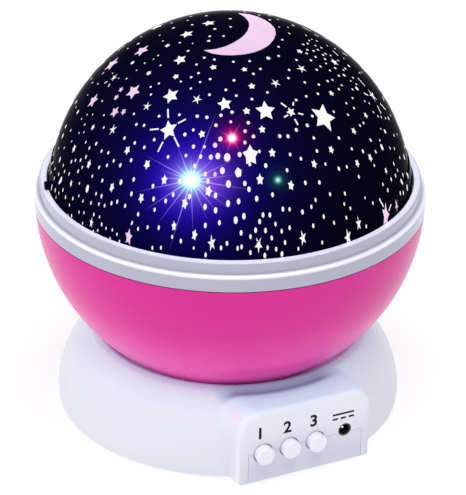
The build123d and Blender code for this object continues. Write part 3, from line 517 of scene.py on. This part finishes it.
def resting(place):
    """The place, moved along its radius onto the dome or onto the thicker band at its edge."""
    outward = (place - DOME_CENTRE).normalized()
    rise = outward.z * DOME_R
    on_band = min(1.0, max(0.0, (BAND_TOP + BAND_SLOPE - rise) / MM))
    return DOME_CENTRE + outward * (DOME_R + BAND_STEP * on_band + LIFT)


# %% [markdown]
# ## The dark dome
# The dome is smooth dark plastic, nearly black, with a blue cast in its depth.  Its reflections
# are kept weak, because a bright image of the studio would drown the light that comes through it.

# %% Dark plastic
dark_dome = Finish("dark_dome", (0.0028, 0.0020, 0.0085), 0.11, IOR=1.02,
                   Specular_IOR_Level=0.35, Emission_Strength=1.0)
here = dark_dome.place()
cloudy = dark_dome.noise(30.0, detail=3.0)
dark_dome.feed("Base Color",
               dark_dome.mix(cloudy, (0.0012, 0.0008, 0.005, 1), (0.0020, 0.0016, 0.008, 1)))
dark_dome.feed("Roughness", (0.09 + dark_dome.noise(60.0, detail=4.0) * 0.05).kept())
dark_dome.bump(dark_dome.noise(40.0, detail=1.0) * (0.05 * MM)
               + dark_dome.noise(2400.0) * (0.001 * MM))
print("dark plastic has", len(dark_dome.nodes), "nodes")

# %% [markdown]
# ## The light behind the dome
# The lamps inside glow through the dome: a blue one with a wide halo and thin rays, and small red
# and green ones.  The glow is written as light that the plastic gives off, measured across the
# dome from the point in front of each lamp, so it needs no lamp that shines through a wall.

# %% A spot in front of a lamp
BLUE_RAY_WIDTH, RED_RAY_WIDTH = 0.14, 0.16
RAY_TIP = 0.35
RAY_FADE = 1.2


class Spot:
    """Coordinates in millimetres across the dome from a point in front of a lamp."""

    def __init__(self, x, y):
        self.middle = on_dome(x, y)
        self.across = here.dot(view_right / MM) - self.middle.dot(view_right) / MM
        self.rise = here.dot(view_up / MM) - self.middle.dot(view_up) / MM
        self.near = here.dot(view_back / MM).above(DOME_CENTRE.dot(view_back) / MM)
        self.far2 = self.across * self.across + self.rise * self.rise

    def glow(self, radius):
        """A soft round glow that has faded to a third at the radius."""
        return math.e ** (self.far2 * (-1 / radius ** 2)) * self.near

    def ray(self, angle, length, width):
        """A thin ray that tapers to nothing at its length."""
        c, s = math.cos(math.radians(angle)), math.sin(math.radians(angle))
        along = self.across * c + self.rise * s
        off = self.across * -s + self.rise * c
        fade = (1.0 - along / length).kept() ** RAY_FADE * along.above(0.0)
        thin = width * (RAY_TIP + fade)
        return math.e ** (-1.0 * (off * off) / (thin * thin)) * fade

    def rays(self, table, width):
        return sum(self.ray(angle, length, width) for angle, length in table)


blue = Spot(191, 180)
haze = Spot(197, 172)
violet = Spot(213, 180)
red = Spot(232, 138)
green = Spot(278, 180)
print("from the blue lamp to the red", round((red.middle - blue.middle).length / MM, 1), "mm")

# %% Glow: angle and length of each ray, then colour and amount of each light
BLUE_RAYS = (
    (69.8, 24.6), (90, 8.6), (111.8, 13.8), (132, 9), (151.3, 17.3), (161.5, 11), (174.8, 11.4),
    (191.8, 18.7), (201, 9), (212.6, 18), (232.2, 18), (252.5, 24), (272, 16.6), (292.3, 13.9),
    (309.5, 14.8), (323, 16), (333, 13.7), (350.6, 21), (6.3, 15.7), (24.7, 15), (43.5, 11))
RED_RAYS = ((62, 6.0), (100, 4.0), (150, 5.0), (205, 4.5), (250, 6.0), (300, 5.0), (345, 3.5))
LIGHTS = (
    # the halo of the blue lamp, its haze over the front, and violet where red mixes in
    ((0.010, 0.003, 0.70), blue.glow(11.5)), ((0.002, 0.001, 0.11), haze.glow(24.0)),
    ((0.040, 0.003, 0.0), blue.glow(9.0)), ((0.115, 0.030, 0.11), violet.glow(6.0)),
    # its core, cyan at the rim and white in the middle, and its rays
    ((0.0, 0.95, 0.05), blue.glow(2.7) * 1.9), ((0.90, 0.0, 0.0), blue.glow(1.5) * 1.6),
    ((0.34, 0.26, 0.0), blue.glow(5.0)),
    ((0.42, 0.37, 0.70), blue.rays(BLUE_RAYS, BLUE_RAY_WIDTH) * 1.5),
    # the red lamp, its white core and its rays
    ((1.0, 0.0, 0.10), red.glow(1.95) * 1.5), ((0.080, 0.0, 0.03), red.glow(5.0)),
    ((0.0, 0.85, 1.0), red.glow(0.92) * 3.0),
    ((0.3, 0.25, 0.35), red.rays(RED_RAYS, RED_RAY_WIDTH) * 0.8),
    # the green lamp
    ((0.003, 0.032, 0.022), green.glow(2.8)), ((0.20, 0.80, 0.55), green.glow(0.88)),
    ((0.30, 0.35, 0.30), green.glow(0.5)),
)
shining = BLACK
for colour, amount in LIGHTS:
    shining = dark_dome.mix(amount, shining, (*colour, 1), "ADD")
dark_dome.feed("Emission Color", shining)
print("dome finish has", len(dark_dome.nodes), "nodes,", len(LIGHTS), "lights")

# %% [markdown]
# ## Dressing the solid parts
# The record says which finish each solid part takes.  A part's own shape stays as it was modelled.

# %% Give every part its finish
for part in frame["record"]["subparts"]:
    finish = Finish.made[part["material_slot"]]
    frame["nodes"][part["node"]].material_slots[0].material = finish.material
print(len(frame["nodes"]), "solid parts dressed")

# %% [markdown]
# ## Windows in the dome
# The dome's print is opaque, and the windows left in it let the lamp light through.  Each window
# is a thin patch that lies on the dome, which stays sharp at any distance where a painted mask
# would blur.  The film is stretched when the dome is formed, so windows near the rim are longer up
# and down than across.

# %% How a window is laid on the dome
RIM_STRETCH = 1.3
RIM_STARTS = 3


def onto_dome(verts, middle, size, turn_by=0.0):
    """Move a flat shape of unit size to its place, stretched as the film is, and onto the dome."""
    outward = (middle - DOME_CENTRE).normalized()
    east = Vector((0, 0, 1)).cross(outward).normalized()
    north = outward.cross(east)
    stretch = 1.0 + RIM_STRETCH * (1.0 - outward.z * outward.z) ** RIM_STARTS
    swing = Matrix.Rotation(math.radians(turn_by), 3, "Z")
    for vert in verts:
        flat = swing @ vert.co * size * MM
        vert.co = resting(middle + east * flat.x + north * (flat.y * stretch))


def dot(form, middle, size, corners=8):
    """A round window."""
    made = bmesh.ops.create_circle(form, cap_ends=True, segments=corners, radius=1.0)
    onto_dome(made["verts"], middle, size)


def star(form, middle, size, turn_by, waist, points=5):
    """A star-shaped window; waist is how fat it is."""
    made = bmesh.ops.create_circle(form, cap_tris=True, cap_ends=True, segments=2 * points,
                                   radius=1.0)
    for vert in made["verts"]:
        angle = math.degrees(math.atan2(vert.co.y, vert.co.x))
        if round((angle - 90) / (180 / points)) % 2:
            vert.co *= waist
    onto_dome(made["verts"], middle, size, turn_by)


def bar(form, start, end, width):
    """A short bar between two places, such as the loose rays round the largest stars."""
    made = bmesh.ops.create_grid(form, x_segments=4, y_segments=1, size=0.5)
    along = end - start
    across = along.cross(start - DOME_CENTRE).normalized() * width * MM
    for vert in made["verts"]:
        vert.co = resting(start + along * (vert.co.x + 0.5) + across * vert.co.y)


print("a window at the rim is", 1 + RIM_STRETCH, "times as long as it is wide")

# %% [markdown]
# ## Light in the windows
# A clear window is bright all over, only a little uneven, since the lamps stand close behind it.
# Windows between the blue lamp and the red one take on some of both colours.

# %% Lit windows
def window_light(name, colour, strength):
    """Lamp light in a clear window, a little uneven."""
    finish = Finish(name, shade(colour, 0.5)[:3], 0.25, Emission_Strength=strength)
    uneven = finish.noise(90.0, detail=3.0)
    finish.feed("Emission Color", finish.mix(uneven, shade(colour, 0.80), shade(colour, 1.0)))
    finish.feed("Base Color", finish.mix(uneven, shade(colour, 0.10), shade(colour, 0.14)))
    finish.bump(uneven * (0.01 * MM))
    return finish


WINDOW_STRENGTH = 0.90
BETWEEN_LAMPS = on_dome(222, 152)
clear_window = window_light("clear_window", (1.0, 0.99, 0.97), WINDOW_STRENGTH)
pink_window = window_light("pink_window", (0.90, 0.62, 0.86), WINDOW_STRENGTH)
from_lamps = clear_window.place().vector_sum("DISTANCE", BETWEEN_LAMPS)
tint(clear_window, between(from_lamps, 12, 5), (0.92, 0.74, 0.92), "Emission Color")
print("windows glow in two finishes")

# %% [markdown]
# ## The print
# The print has slim, middling and fat stars, short rays round some of them, dots in nine sizes and
# one moon.  A star is a circle of ten corners with every second one drawn in to its waist.  The
# tables give each window by its place in the camera's frame; sizes are in millimetres.

# %% Stars: waist, then place, size and turn
CLEAR_STARS = {
    0.28: (
        (301.6, 68.7, 1.9, -6), (114, 77.7, 1.52, 9), (275.5, 83.2, 1.75, 17),
        (372.4, 95.6, 2.2, -11), (197, 99.4, 1.72, -12), (147, 106.4, 1.56, 16),
        (112.9, 129.7, 1.55, 27)),
    0.38: (
        (92.5, 222.5, 0.9, 0), (357.6, 223.2, 1.2, -3), (347, 237, 1.45, 14),
        (302.3, 237.7, 1.25, 14), (211.9, 242.8, 1.3, 13), (258.4, 244.3, 1.3, -38)),
    0.5: (
        (208.8, 23.2, 2.33, -25), (157, 27, 2.57, -20), (186.9, 34.2, 2.32, 17),
        (180.2, 59.8, 2.25, -15), (334.3, 62.2, 1.58, -37), (171, 95.8, 2.75, 42),
        (224.7, 104.1, 2.36, 14), (265.5, 110.9, 3.3, -6), (290.9, 112.1, 1.58, 11),
        (323.7, 117.4, 4.4, -34), (168.7, 130, 2.9, 28)),
    0.56: (
        (167.5, 45.6, 1.02, 15), (299.6, 51.4, 1.18, 9), (213.4, 67.3, 1.2, 28),
        (244.4, 69.5, 1.04, 6), (148.8, 73.2, 1.02, -3), (175.9, 76.7, 1.11, -22),
        (251.8, 86.2, 1.2, -2), (331.3, 93.3, 1.04, -40), (246.6, 111.1, 1.23, 1),
        (365.7, 115.4, 0.94, 14), (93, 127.3, 0.82, 1), (262.1, 129.5, 1.15, -1),
        (353.7, 131, 1.02, -45), (201.9, 134.2, 1.18, 21), (74.1, 148.6, 0.94, -32),
        (331.1, 149.7, 1.01, -33), (127.4, 150.3, 1.1, -20), (272.2, 152.8, 1.18, -8),
        (370.2, 157.7, 0.95, 23), (357.2, 163.3, 0.91, 29), (314.1, 164, 1.03, -25),
        (89, 164.2, 0.96, 0), (147.1, 164.5, 1.15, -28), (385.9, 170.8, 0.65, 28),
        (260, 179.6, 1.23, -3), (164.4, 179.9, 1.08, 10), (71.2, 183.4, 0.67, -39),
        (291, 185.5, 1.05, -15), (112, 187.4, 0.94, -16), (141.3, 198.1, 0.98, 41),
        (184.8, 203.4, 1.1, -15), (174, 226, 0.85, 10), (194.6, 234.7, 0.9, -12)),
    0.6: (
        (208.5, 191.2, 1.15, -15), (250.6, 155.3, 2.6, 0)),
    0.85: (
        (238.3, 172.6, 1.12, 9),),
}
PINK_STARS = {
    0.3: (
        (395.2, 205.4, 1.2, 30),),
    0.5: (
        (141.8, 50.8, 2.9, -45), (111.8, 64.2, 3.1, -37), (133.3, 91.7, 2.73, -2),
        (93.2, 100.8, 2.31, -52), (114.8, 112, 1.75, -2), (384.6, 215.6, 2.1, -20),
        (129.4, 236.6, 1.36, -4)),
    0.56: (
        (121, 89.6, 0.99, 11), (116.3, 97.4, 1.03, 7), (123.6, 111.8, 1.03, -14)),
}
RAY_BAR_WIDTH = 0.5
RAY_BARS = (
    (167.9, 109, 168.3, 118), (178.1, 123.3, 185.7, 119.3), (174.1, 136.8, 179, 146.8),
    (163, 141.8, 158, 151.8), (150, 129.8, 158.8, 129), (280.9, 103, 286.3, 107),
    (293.4, 102.1, 293, 105.7), (284, 117.3, 288, 115.1), (298.3, 113.3, 303.2, 114.6),
    (294.7, 119.1, 297.9, 124.9), (357.7, 78, 364.8, 86.1), (363.9, 93.2, 368, 95.4),
    (380, 103.5, 385.4, 109.7), (377.3, 105.7, 380.9, 113.8), (382.2, 96.8, 384, 100.8),
    (332.7, 50.8, 338, 55.7), (342.5, 53, 347, 55.7), (302.8, 27.6, 310.8, 31.2),
    (314.4, 34.3, 318.4, 36.5), (322.9, 37, 333.6, 42.8), (102.1, 74.3, 104.2, 72.2),
    (110, 83.8, 108.4, 86.7), (104.6, 83.4, 107.5, 81.4), (117.9, 50.7, 124.9, 45.7),
    (379.3, 198.4, 382.1, 206.8), (389.8, 204, 387.4, 210.7))

clear = bmesh.new()
pink = bmesh.new()
for form, table in ((clear, CLEAR_STARS), (pink, PINK_STARS)):
    for waist, rows in table.items():
        for x, y, size, turn_by in rows:
            star(form, on_dome(x, y), size, turn_by, waist)
for x0, y0, x1, y1 in RAY_BARS:
    bar(clear, on_dome(x0, y0), on_dome(x1, y1), RAY_BAR_WIDTH)
print("clear and pink stars:", *(sum(map(len, t.values())) for t in (CLEAR_STARS, PINK_STARS)))

# %% [markdown]
# ## The moon
# The crescent lies between a long outer edge and a shorter inner one, which meet in two tips.  A
# grid whose rows run from one edge to the other fills it.  At the tips its columns shrink to a
# point, so the doubled points there are merged.

# %% Moon: its outer and inner edge
MOON_OUTER = (
    (203.8, 50.4), (212.5, 53.7), (221.4, 55), (231.3, 55.4), (242.9, 54.6), (252.7, 52.8),
    (261.6, 49.6), (268.8, 45.3), (273.6, 39.8), (275.9, 34), (274.6, 28.2), (270.5, 23.8),
    (264.3, 19.7), (257.1, 16.6), (249.1, 14.4), (237.9, 13.2))
MOON_INNER = (
    (203.8, 50.4), (216.1, 49.1), (225, 46.7), (233, 43.1), (240.2, 38.7), (244.6, 34.9),
    (247.8, 30.4), (249.3, 25.7), (248.7, 22), (246.4, 18.8), (242.9, 15.9), (237.9, 13.2))


def along(edge, share):
    """The place at a share of the way along an edge."""
    step = min(int(share * (len(edge) - 1)), len(edge) - 2)
    return Vector(edge[step]).lerp(Vector(edge[step + 1]), share * (len(edge) - 1) - step)


moon = bmesh.ops.create_grid(pink, x_segments=44, y_segments=6, size=0.5)
for vert in moon["verts"]:
    share = vert.co.x + 0.5
    place = along(MOON_INNER, share).lerp(along(MOON_OUTER, share), vert.co.y + 0.5)
    vert.co = resting(on_dome(place.x, place.y))
print("moon made of", len(moon["verts"]), "points")
bmesh.ops.remove_doubles(pink, verts=moon["verts"], dist=0.001 * MM)

# %% [markdown]
# ## Round dots
# Most windows are plain dots.  Eight corners are enough for a circle that is a millimetre wide,
# and they keep hundreds of dots light.

# %% Dots: radius, then places
CLEAR_DOTS = {
    0.26: (
        (192.7, 43.6), (153.6, 59.4), (136.6, 70.4), (112.7, 73.4), (118.8, 78.4), (87.8, 95),
        (75.9, 107.3), (92.8, 114.5), (87.2, 114.8), (81.7, 119), (380.6, 128.8), (84, 132.3),
        (79.2, 133), (396.9, 134.3), (71.8, 141.4), (64.4, 148), (58.7, 148.3), (55.2, 168.8),
        (79.5, 183.4), (60.2, 193), (78.9, 195.9), (57.4, 197.5), (364.9, 197.8), (83.3, 201),
        (70.7, 204.9), (80.3, 212), (85.2, 212.6), (69.4, 215.2), (100.6, 216.7), (83.8, 223.1),
        (107.1, 228), (113.3, 229.6), (98.8, 230.2), (94.5, 231), (117.9, 233.9), (111.1, 238.1),
        (120.4, 241), (194, 247.5)),
    0.32: (
        (279.2, 27.2), (287.9, 27.3), (159.7, 35.3), (311.8, 39.4), (162.9, 41.2), (327, 45.8),
        (127.9, 48.6), (158.2, 55.6), (343.8, 58.5), (144.7, 63.3), (361.5, 72.3), (359.4, 72.9),
        (126.6, 78.7), (350.8, 81), (92.5, 82.8), (98, 83.9), (102.2, 101.1), (364.7, 101.2),
        (369.1, 103.4), (373.3, 112.1), (104, 115.2), (390.4, 115.5), (377.9, 116.2),
        (381.1, 117.2), (385.4, 118.3), (84.9, 124.6), (103.9, 127.6), (70.9, 130.5),
        (393.9, 135.4), (379.7, 140.3), (85.9, 142.3), (389.9, 148.2), (394.2, 148.6),
        (399.7, 157.8), (75.6, 160.4), (63.3, 165.4), (374.1, 165.4), (82.4, 167.4),
        (397.4, 170.4), (64.6, 171.6), (52.5, 172.5), (69.2, 173.9), (58.8, 174.2), (92.4, 176.2),
        (55.7, 178.4), (382.8, 184.3), (64.3, 190), (96.2, 193.7), (66.9, 197.2), (74.1, 198.5),
        (91.1, 202.9), (372.8, 203.1), (99, 204), (344.2, 204), (104.7, 205.5), (350.3, 208.3),
        (95, 214.3), (72.9, 215.6), (346.2, 217.5), (333.9, 222.7), (132.2, 222.8), (102.8, 224),
        (365.1, 226.1), (147.8, 227.1), (138.8, 228.6), (172.6, 236.5), (321.4, 242.1),
        (161.5, 247.3), (153, 247.4), (297.8, 248.3)),
    0.38: (
        (277.8, 19.5), (187.8, 20.5), (171.8, 23), (306.1, 35.4), (141.2, 36.9), (309, 40.6),
        (316.8, 41.1), (179.8, 42.8), (315.5, 45.6), (334.9, 48.7), (330.4, 55.6), (338, 60.5),
        (326, 63.6), (160.6, 65.4), (343.4, 70.2), (329.8, 70.6), (352.9, 77.9), (91.7, 78.7),
        (332.4, 80), (180.8, 81.6), (200.1, 82.1), (159, 83.5), (356.2, 84.2), (341.7, 85.3),
        (150.8, 87), (190.9, 88.5), (352.4, 89.5), (151, 94.6), (352.4, 98.1), (346.3, 103.3),
        (353.9, 108.1), (333.7, 111.8), (134, 113.9), (347.9, 114.8), (363.4, 123), (359.9, 125.6),
        (404.1, 146.9), (89.5, 148.1), (351.7, 148.9), (101.7, 151.1), (375.6, 151.8),
        (108.4, 152.8), (86.1, 156.9), (80.7, 160.2), (113.8, 160.8), (71.5, 161.7), (53.2, 163),
        (393.7, 163.7), (325.4, 164.1), (107.1, 165.4), (346.7, 166.9), (99.2, 167.4),
        (78.2, 171.3), (402.8, 174.9), (395.4, 175.7), (358.8, 176.8), (391.1, 179.2),
        (102.4, 180.6), (56.7, 190.1), (387.7, 190.2), (401.9, 192.9), (398.9, 193.1),
        (344.8, 193.5), (330, 194.2), (101.6, 196.1), (315.5, 199.9), (117.3, 201.7),
        (111.6, 203.2), (125.2, 205.8), (311.3, 206.8), (289.5, 209.3), (154.7, 209.8),
        (138.2, 214.2), (323.7, 216.6), (275.4, 224), (313.2, 225.7), (158.8, 227.6),
        (289.6, 227.7), (281.7, 231.2), (250.4, 236.5), (271.5, 237.7), (181.2, 240.6),
        (284.6, 242.1), (227, 242.9), (241.5, 246.4), (267.3, 247.3), (221.1, 247.4),
        (237.6, 247.8), (275.8, 248.6), (250.2, 252.1), (205.8, 254.4)),
    0.45: (
        (259.2, 15.2), (191.1, 16.5), (192.2, 24.9), (230.6, 27), (289.3, 33.6), (223.6, 36.2),
        (209.8, 36.4), (282.3, 39.9), (307.5, 43.6), (303.3, 44.5), (278.6, 46.9), (321.3, 47.8),
        (317.8, 49.9), (307.3, 50), (313.5, 50.9), (188.1, 51), (306.5, 53.5), (325.5, 53.9),
        (323.1, 55.1), (278.6, 56), (315.5, 57), (204.3, 57.8), (325, 59.2), (214.4, 59.6),
        (296.5, 60.1), (310.9, 60.4), (249.6, 61.2), (233.4, 61.9), (196.5, 64.6), (320.4, 66.5),
        (335.2, 68.1), (345.2, 68.7), (260.4, 69), (316.7, 69.9), (289.1, 70), (198.5, 73.2),
        (253.4, 73.9), (338.7, 75.8), (191.2, 77.3), (288.4, 78.2), (210.2, 79.2), (234, 80.4),
        (327.6, 81.2), (304.7, 82.5), (318.8, 84.7), (338.8, 89.3), (225.9, 89.9), (267.4, 92.5),
        (317.8, 93.8), (209.5, 94.8), (236.3, 95.7), (306.2, 96.4), (251.9, 99.2), (296.1, 100.1),
        (179.4, 114.8), (312.3, 116.1), (159.1, 116.2), (388.4, 118.3), (136.5, 124.5),
        (144.2, 125.4), (65.9, 126.5), (193.4, 130), (338.8, 138), (124.6, 138.1), (313.8, 138.1),
        (154.3, 139.7), (370.5, 140.1), (134.8, 143), (96.3, 143.7), (204.4, 146.8),
        (144.4, 147.4), (316.8, 151), (362.8, 151.3), (259.4, 151.4), (290.1, 154.5), (186, 155.6),
        (168.1, 156.9), (300.8, 158.7), (131.2, 160.2), (249.8, 164.4), (120.4, 165.3),
        (338.8, 168.7), (287, 170.3), (133.8, 179.5), (319.3, 182.4), (305.3, 182.8), (153, 186.1),
        (131.5, 193.9), (173.3, 194.6), (272.5, 194.7), (153.7, 198.9), (165.7, 200.9),
        (282.8, 209.1), (302.4, 212), (263, 214.9), (269.8, 215), (259.6, 221.5), (219.4, 222.7),
        (205.3, 225.4), (255.6, 230.2), (265.5, 230.5), (241.1, 232.8), (281.5, 253.5),
        (264.5, 255)),
    0.55: (
        (244.7, 12.1), (269.6, 15.7), (206.3, 15.9), (230.2, 18.8), (269.7, 19.9), (293, 25.4),
        (173.5, 28), (214.8, 29.1), (208.7, 41), (138.3, 43.8), (348.6, 65.9), (344, 75.3),
        (76.2, 102.2), (77.9, 112), (232.1, 112.3), (220.9, 115.4), (197.2, 116.3), (206.9, 117.4),
        (248.3, 122.8), (216, 125.3), (307.2, 125.4), (296.3, 130), (384.9, 131.5), (184.9, 134.5),
        (62.9, 135.8), (279.7, 136.2), (287.9, 136.3), (253.4, 136.4), (193.5, 146.6),
        (200.6, 156.7), (404.1, 157), (60, 159.7), (265.7, 165.6), (194.7, 165.9), (205.2, 174.2),
        (406.4, 175.5), (179.8, 181.2), (207.9, 181.2), (401.1, 181.6), (121, 182.2),
        (244.8, 183.5), (53.1, 187.4), (405.7, 187.7), (249, 189.3), (215.5, 195.4),
        (189.4, 196.5), (256.7, 198.7), (238.6, 201.4), (205.1, 206.8), (215.6, 210.3),
        (243.9, 216.2)),
    0.64: (
        (239.6, 154.6), (210.8, 157.2), (228, 203.5), (235.7, 220.1)),
    0.7: (
        (268.3, 58.3), (132.5, 62.8), (356.8, 88.5), (381.8, 147.2), (61.1, 180.5), (87.4, 188.7)),
    0.8: (
        (217.9, 156.1), (222.4, 170.7), (228.4, 184)),
    1.05: (
        (227.2, 157.5),),
}
PINK_DOTS = {
    0.45: (
        (230.8, 121.9),),
    0.55: (
        (245.1, 131.2), (244.9, 142.5), (215, 174.3)),
    0.7: (
        (220.4, 139.1), (215.1, 145.2)),
}
for form, table in ((clear, CLEAR_DOTS), (pink, PINK_DOTS)):
    for radius, places in table.items():
        for x, y in places:
            dot(form, on_dome(x, y), radius)
print("clear and pink dots:", *(sum(map(len, t.values())) for t in (CLEAR_DOTS, PINK_DOTS)))

# %% [markdown]
# ## The far side
# The print goes all the way round.  The far side gets the same mix of windows, scattered with a
# fixed seed: the two largest sizes become stars and the rest dots.  A window is left out where it
# would touch its neighbour.

# %% Windows on the far side
FAR_WINDOWS = 330
FAR_SIZES = (0.32, 0.38, 0.38, 0.45, 0.45, 0.55, 1.1, 1.9)
FAR_GAP = 1.0
FAR_WAIST = 0.45
CLEAR_SHARE = 0.8
# heights as shares of the dome's radius, and the cosine from which a place is on the near side
LOWEST, HIGHEST = 0.05, 0.97
FACES_CAMERA = 0.08
chance = random.Random(11)
taken = []
while len(taken) < FAR_WINDOWS:
    rise = chance.uniform(LOWEST, HIGHEST)
    round_about = chance.uniform(0, 2 * math.pi)
    flat = math.sqrt(1 - rise * rise)
    outward = Vector((flat * math.cos(round_about), flat * math.sin(round_about), rise))
    size = chance.choice(FAR_SIZES)
    middle = DOME_CENTRE + outward * DOME_R
    if (eye - middle).normalized().dot(outward) > FACES_CAMERA:
        continue
    if any((middle - other).length < (size + room + FAR_GAP) * MM for other, room in taken):
        continue
    taken.append((middle, size))
    if size > 1:
        form = clear if chance.random() < CLEAR_SHARE else pink
        star(form, middle, size, chance.uniform(0, 72), FAR_WAIST)
    else:
        dot(clear, middle, size)
print(sum(size > 1 for _, size in taken), "stars among", len(taken), "windows on the far side")

# %% [markdown]
# ## Two sheets of windows
# All clear windows become one piece and all pink ones another, because they share a finish and
# move together with the dome.  Their faces have to look outwards to be lit and exported rightly.

# %% Windows as pieces
def window_piece(name, form, finish):
    """Make the windows one piece that moves with the dome."""
    bmesh.ops.recalc_face_normals(form, faces=form.faces[:])
    for face in form.faces:
        if face.normal.dot(face.calc_center_median() - DOME_CENTRE) < 0:
            face.normal_flip()
    mesh = bpy.data.meshes.new(name)
    form.to_mesh(mesh)
    form.free()
    mesh.materials.append(finish.material)
    piece = put_in_scene(name, mesh)
    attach(piece, "dome")
    print(name, "has", len(mesh.polygons), "faces")


window_piece("clear_windows", clear, clear_window)
window_piece("moon_and_pink_stars", pink, pink_window)

# %% [markdown]
# ## Marks on the control box
# The marks are printed in black above the buttons.  Plain numbers tell the three buttons apart,
# and the usual sign for direct current, a line over three dashes, stands over the power jack.  A
# flat mesh just in front of the face does for ink, which has no thickness to speak of.

# %% Ink
ink = Finish("ink", (0.004, 0.005, 0.015), 0.5, Specular_IOR_Level=0.1)
worn = ink.noise(900.0, detail=3.0)
ink.feed("Base Color", ink.mix(worn, (0.002, 0.003, 0.010, 1), (0.008, 0.010, 0.022, 1)))
ink.feed("Roughness", 0.38 + worn * 0.2)
ink.bump(worn * (0.004 * MM))
INK_DEPTH = 0.02 * MM
PRINT_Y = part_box("base_shell")[0].y - INK_DEPTH


def printed(name, mesh):
    """Make a flat mesh a printed mark that stays with the base."""
    mesh.materials.clear()
    mesh.materials.append(ink.material)
    piece = put_in_scene(name, mesh)
    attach(piece, "base")


print("print stands at", round(PRINT_Y / MM, 2), "mm")

# %% Numbers and the sign for direct current
# each number with its x, and each bar of the sign with its x, z and width, in millimetres
NUMBERS = (("1", -16.8), ("2", -6.8), ("3", 2.9))
NUMBER_Z, NUMBER_HEIGHT = 18.9, 4.2
BARS = ((13.9, 19.2, 8.0), (10.9, 17.5, 2.0), (13.9, 17.5, 2.0), (16.9, 17.5, 2.0))
BAR_HEIGHT = 0.7
# a number fills this share of its letter size, and its strokes are drawn this much bolder
CAP_SHARE, BOLDER = 0.7, 0.17


def number(text, x, z, height):
    """A printed number, as a flat mesh standing on the box's face."""
    letters = bpy.data.curves.new("number_" + text, "FONT")
    letters.body = text
    letters.size = height / CAP_SHARE
    letters.offset = BOLDER * MM
    letters.align_x = "CENTER"
    letters.align_y = "CENTER"
    holder = put_in_scene("holder", letters)
    bpy.context.view_layer.update()
    mesh = bpy.data.meshes.new_from_object(holder)
    bpy.data.objects.remove(holder)
    mesh.name = "number_" + text
    mesh.transform(Matrix.Translation((x, PRINT_Y, z)) @ Matrix.Rotation(math.pi / 2, 4, "X"))
    printed("number_" + text, mesh)


for text, x in NUMBERS:
    number(text, x * MM, NUMBER_Z * MM, NUMBER_HEIGHT * MM)

upright = Matrix.Rotation(math.pi / 2, 3, "X")
sign = bmesh.new()
for x, z, width in BARS:
    verts = bmesh.ops.create_grid(sign, x_segments=1, y_segments=1, size=0.5)["verts"]
    bmesh.ops.scale(sign, vec=(width * MM, BAR_HEIGHT * MM, 1), verts=verts)
    bmesh.ops.rotate(sign, cent=(0, 0, 0), matrix=upright, verts=verts)
    bmesh.ops.translate(sign, vec=(x * MM, PRINT_Y, z * MM), verts=verts)
sign_mesh = bpy.data.meshes.new("direct_current_sign")
sign.to_mesh(sign_mesh)
sign.free()
printed("direct_current_sign", sign_mesh)
print(len(NUMBERS), "numbers and a sign of", len(BARS), "bars")
